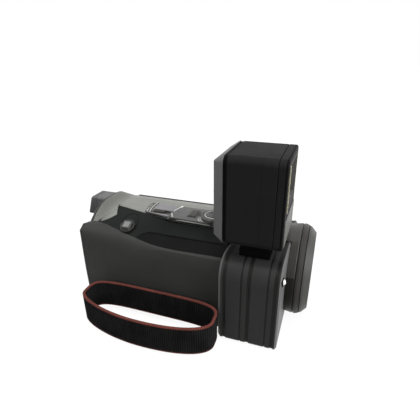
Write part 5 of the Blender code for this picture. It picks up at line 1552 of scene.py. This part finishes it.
@dataclass
class HandStrap(SubAssembly):
    """The ribbed webbing loop with its red binding."""

    centre: Vector = Vector((-12.6 * MM, -54.9 * MM))
    half_length: float = 50.8 * MM
    half_depth: float = 15.9 * MM
    inner_power: float = 4.6
    front_power: float = 2.2
    rear_power: float = 1.8
    fine_steps: int = 4000
    map_steps: int = 2000
    length_steps: int = 400
    foot: float = 2.6 * MM
    width: float = 21.4 * MM
    rise: float = 2.4 * MM
    thickness: float = 2.0 * MM
    rib_count: int = 156
    rib_steps: int = 4
    rib_depth: float = 0.35 * MM
    web_rows: int = 8
    web_edge: float = 0.5 * MM
    web_inset: float = 0.1 * MM
    binding_height: float = 1.1 * MM
    binding_cover: float = 0.25 * MM
    binding_steps: int = 320

    def dress(self) -> None:
        """The strap's CAD solid is replaced, so it needs no finish."""

    def outline(self, count: int) -> list[Vector]:
        """Spaces points evenly round the loop's middle in plan.

        Args:
            count: How many points.

        Returns:
            Points in plan, counter-clockwise.
        """
        inset = self.thickness / 2
        half_x, half_y = self.half_length - inset, self.half_depth - inset
        dense = []
        for step in range(self.fine_steps + 1):
            angle = TURN * step / self.fine_steps
            hand = 2 / self.front_power if math.cos(angle) > 0 else 2 / self.rear_power
            power = 2 / self.inner_power if math.sin(angle) > 0 else hand
            across = math.copysign(abs(math.cos(angle)) ** power, math.cos(angle))
            out = math.copysign(abs(math.sin(angle)) ** power, math.sin(angle))
            dense.append(self.centre + Vector((half_x * across, half_y * out)))
        runs = [0.0]
        for before, after in zip(dense, dense[1:]):
            runs.append(runs[-1] + (after - before).length)
        points, index = [], 0
        for step in range(count):
            goal = runs[-1] * step / count
            while runs[index + 1] < goal:
                index += 1
            share = (goal - runs[index]) / max(runs[index + 1] - runs[index], 1e-12)
            points.append(dense[index].lerp(dense[index + 1], share))
        return points

    def outward(self, points: list[Vector]) -> list[Vector]:
        """Finds the way out of a closed loop.

        Args:
            points: The loop's points in plan.

        Returns:
            The outward direction in plan at each point.
        """
        ways = []
        for before, after in zip(points[-1:] + points[:-1], points[1:] + points[:1]):
            step = (after - before).normalized()
            ways.append(Vector((step.y, -step.x)))
        return ways

    def lean(self, y: float) -> float:
        """How much higher the strap runs at y than at its furthest point from the grip."""
        return self.rise * (y - self.centre.y + self.half_depth) / (2 * self.half_depth)

    def tape(self, section: Sequence[tuple[Callable[[int], float], float]], count: int) -> BMesh:
        """Makes a closed band round the loop.

        Args:
            section: For each row, the distance outside the strap's middle at a step, and the height.
            count: Steps round the loop.

        Returns:
            The closed mesh, whose last row is joined to its first.
        """
        points = self.outline(count)
        ways = self.outward(points)
        mesh = bmesh.new()
        ring = bmesh.ops.create_circle(mesh, segments=count, radius=1.0)["verts"]
        edges = mesh.edges[:]
        rows = [ring]
        for _ in section[1:]:
            made = bmesh.ops.extrude_edge_only(mesh, edges=edges)["geom"]
            fresh = set(only(BMVert, made))
            edges = [edge for edge in only(BMEdge, made) if set(edge.verts) <= fresh]
            ring = [next(edge.other_vert(vert) for edge in vert.link_edges if edge.other_vert(vert) in fresh)
                    for vert in ring]
            rows.append(ring)
        for row, (offset, height) in zip(rows, section):
            for step, vert in enumerate(row):
                place = points[step] + ways[step] * offset(step)
                vert.co = (place.x, place.y, height + self.lean(place.y))
        first = [edge for edge in mesh.edges if set(edge.verts) <= set(rows[0])]
        bmesh.ops.bridge_loops(mesh, edges=edges + first)
        return mesh

    def unwrap(self, piece: Object) -> None:
        """Lays the piece's UV map along the loop and across it, in metres, and marks the ribs' crests.

        Args:
            piece: A band round the loop.
        """
        points = self.outline(self.map_steps)
        tree = KDTree(len(points))
        for step, point in enumerate(points):
            tree.insert((point.x, point.y, 0.0), step)
        tree.balance()
        length = sum((b - a).length for a, b in looped(points))
        data = piece.data
        layer = data.uv_layers.new(name="along")
        runs = [tree.find((vert.co.x, vert.co.y, 0.0))[1] * length / len(points) for vert in data.vertices]
        crests = [0.5 - 0.5 * math.cos(TURN * self.rib_count * run / length) for run in runs]
        data.attributes.new("rib", "FLOAT", "POINT").data.foreach_set("value", crests)
        for face in data.polygons:
            across = [runs[index] for index in face.vertices]
            wraps = max(across) - min(across) > length / 2
            for loop in face.loop_indices:
                index = data.loops[loop].vertex_index
                run = runs[index] + (length if wraps and runs[index] < length / 2 else 0.0)
                place = data.vertices[index].co
                layer.data[loop].uv = (run, place.z - self.lean(place.y))

    def build(self) -> None:
        half = self.thickness / 2 - self.binding_cover
        base = half - self.web_inset

        def ribbed(step: int) -> float:
            """The distance of a face from the strap's middle, with its ribs."""
            return base + self.rib_depth * (0.5 - 0.5 * math.cos(TURN * step / self.rib_steps))

        height = self.width - 2 * self.web_edge
        rows = [self.foot + self.web_edge + height * row / self.web_rows for row in range(self.web_rows + 1)]
        section = [(ribbed, z) for z in rows] + [(lambda step: -ribbed(step), z) for z in reversed(rows)]
        mesh = self.tape(section, self.rib_count * self.rib_steps)
        web = self.keep("strap_webbing", mesh, WEBBING, sharp=180.0)
        self.unwrap(web)
        bindings = [self.add_binding(name, end, way, half) for name, end, way in (
            ("strap_binding_top", self.foot + self.width, -1), ("strap_binding_foot", self.foot, 1))]
        flat = sum((b - a).length for a, b in looped(self.outline(self.length_steps)))
        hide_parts("hand_strap")

    def add_binding(self, name: str, end: float, way: int, half: float) -> Object:
        """Folds a red tape over one edge of the webbing.

        Args:
            name: The piece's name.
            end: The height of the strap's edge.
            way: The direction from that edge into the strap, 1 for up.
            half: The webbing's half thickness under the tape.

        Returns:
            The piece.
        """
        out, inner, floor = half + self.binding_cover, half + 0.02 * MM, self.binding_cover + 0.3 * MM
        fold = (
            (out - 0.12 * MM, self.binding_height),
            (out, self.binding_height - 0.2 * MM),
            (out, 0.5 * MM),
            (out - 0.3 * MM, 0.1 * MM),
            (out - 0.8 * MM, 0.0),
        )
        section = [*fold, *[(-offset, height) for offset, height in reversed(fold)]]
        tucked = ((inner, floor), (inner, self.binding_height))
        section += [*[(-offset, height) for offset, height in reversed(tucked)], *tucked]
        rows = [(lambda step, offset=offset: offset, end + way * height) for offset, height in section]
        piece = self.keep(name, self.tape(rows, self.binding_steps), BINDING, sharp=60.0)
        self.unwrap(piece)
        return piece


# Stage

@dataclass(frozen=True)
class Studio:
    """The camera, floor and light."""

    eye: Vector = Vector((0.0947, -0.2239, 0.183))
    across: Vector = Vector((0.9443, 0.329, -0.0035))
    upward: Vector = Vector((-0.1302, 0.3834, 0.9144))
    ahead: Vector = Vector((-0.3022, 0.863, -0.4049))
    lens: float = 29.95
    sensor: float = 36.0
    ambient: float = 0.3
    floor_size: float = 6.0
    floor_colour: float = 0.12
    floor_glow: float = 0.9

    def set_camera(self) -> None:
        """Makes the camera at the photograph's place."""
        data = bpy.data.cameras.new("camera")
        data.lens = self.lens
        data.sensor_width = self.sensor
        data.clip_start = 0.001
        camera = bpy.data.objects.new("camera", data)
        place = Matrix((self.across, self.upward, -self.ahead)).transposed().to_4x4()
        place.translation = self.eye
        camera.matrix_world = place
        bpy.context.scene.collection.objects.link(camera)
        bpy.context.scene.camera = camera

    def seen(self, wiring: Wiring) -> NodeSocket:
        """Tells rays that show the surround from those that gather light.

        Args:
            wiring: The material's or world's wiring.

        Returns:
            One where a camera, mirror or glass ray looks, and zero where light is gathered.
        """
        path = wiring.node("ShaderNodeLightPath")
        direct = wiring.calc("MAXIMUM", path.outputs["Is Camera Ray"], path.outputs["Is Glossy Ray"])
        return wiring.calc("MAXIMUM", direct, path.outputs["Is Transmission Ray"])

    def set_world(self) -> None:
        """A white surround that lights the object softly."""
        world = bpy.data.worlds.new("surround")
        world.use_nodes = True
        bpy.context.scene.world = world
        wiring = Wiring(world.node_tree)
        background = world.node_tree.nodes["Background"]
        background.inputs["Color"].default_value = WHITE
        strength = wiring.ramp(self.seen(wiring), 0.0, 1.0, self.ambient, 1.0)
        world.node_tree.links.new(strength, background.inputs["Strength"])

    def set_floor(self) -> None:
        """A pale floor that keeps the object's shadow."""
        mesh = bmesh.new()
        bmesh.ops.create_grid(mesh, x_segments=8, y_segments=8, size=self.floor_size)
        data = bpy.data.meshes.new("floor")
        mesh.to_mesh(data)
        mesh.free()
        floor = bpy.data.objects.new("floor", data)
        bpy.context.scene.collection.objects.link(floor)
        material = bpy.data.materials.new("floor_white")
        material.use_nodes = True
        wiring = Wiring(material.node_tree)
        shader = material.node_tree.nodes["Principled BSDF"]
        shader.inputs["Base Color"].default_value = (self.floor_colour,) * 3 + (1.0,)
        shader.inputs["Roughness"].default_value = 0.9
        shader.inputs["Specular IOR Level"].default_value = 0.0
        shader.inputs["Emission Color"].default_value = WHITE
        glow = wiring.ramp(self.seen(wiring), 0.0, 1.0, 0.0, self.floor_glow)
        material.node_tree.links.new(glow, shader.inputs["Emission Strength"])
        data.materials.append(material)

    def add_sun(self, name: str, towards: Vector, strength: float, spread: float) -> None:
        """Adds a wide soft lamp.

        Args:
            name: The lamp's name.
            towards: The way its light travels.
            strength: Its strength.
            spread: How wide it looks from the object, in degrees.
        """
        data = bpy.data.lights.new(name, "SUN")
        data.energy = strength
        data.angle = math.radians(spread)
        lamp = bpy.data.objects.new(name, data)
        lamp.rotation_mode = "QUATERNION"
        lamp.rotation_quaternion = towards.to_track_quat("-Z", "Y")
        bpy.context.scene.collection.objects.link(lamp)

    def set_up(self) -> None:
        """Makes the whole stage."""
        self.set_camera()
        self.set_world()
        self.set_floor()
        self.add_sun("overhead", Vector((0.1, 0.22, -1.0)), 2.2, 60.0)
        self.add_sun("front_side", Vector((-1.0, 0.12, -0.35)), 4.2, 50.0)
        self.add_sun("rear_side", Vector((1.0, 0.12, -0.35)), 1.4, 60.0)
        bpy.context.scene.view_settings.view_transform = "Standard"


def main() -> None:
    """Builds every sub-assembly in order."""
    logging.basicConfig(level=logging.INFO, format="%(message)s")
    Studio().set_up()
    parts = (HandStrap(), BodyCovers(), Controls(), LensHousing(), Lens(), Screen(), Viewfinder(),
             Battery(), VideoLight())
    for part in parts:
        part.dress()
        part.build()
        log.info("%s done", type(part).__name__)


if __name__ == "__main__":
    main()
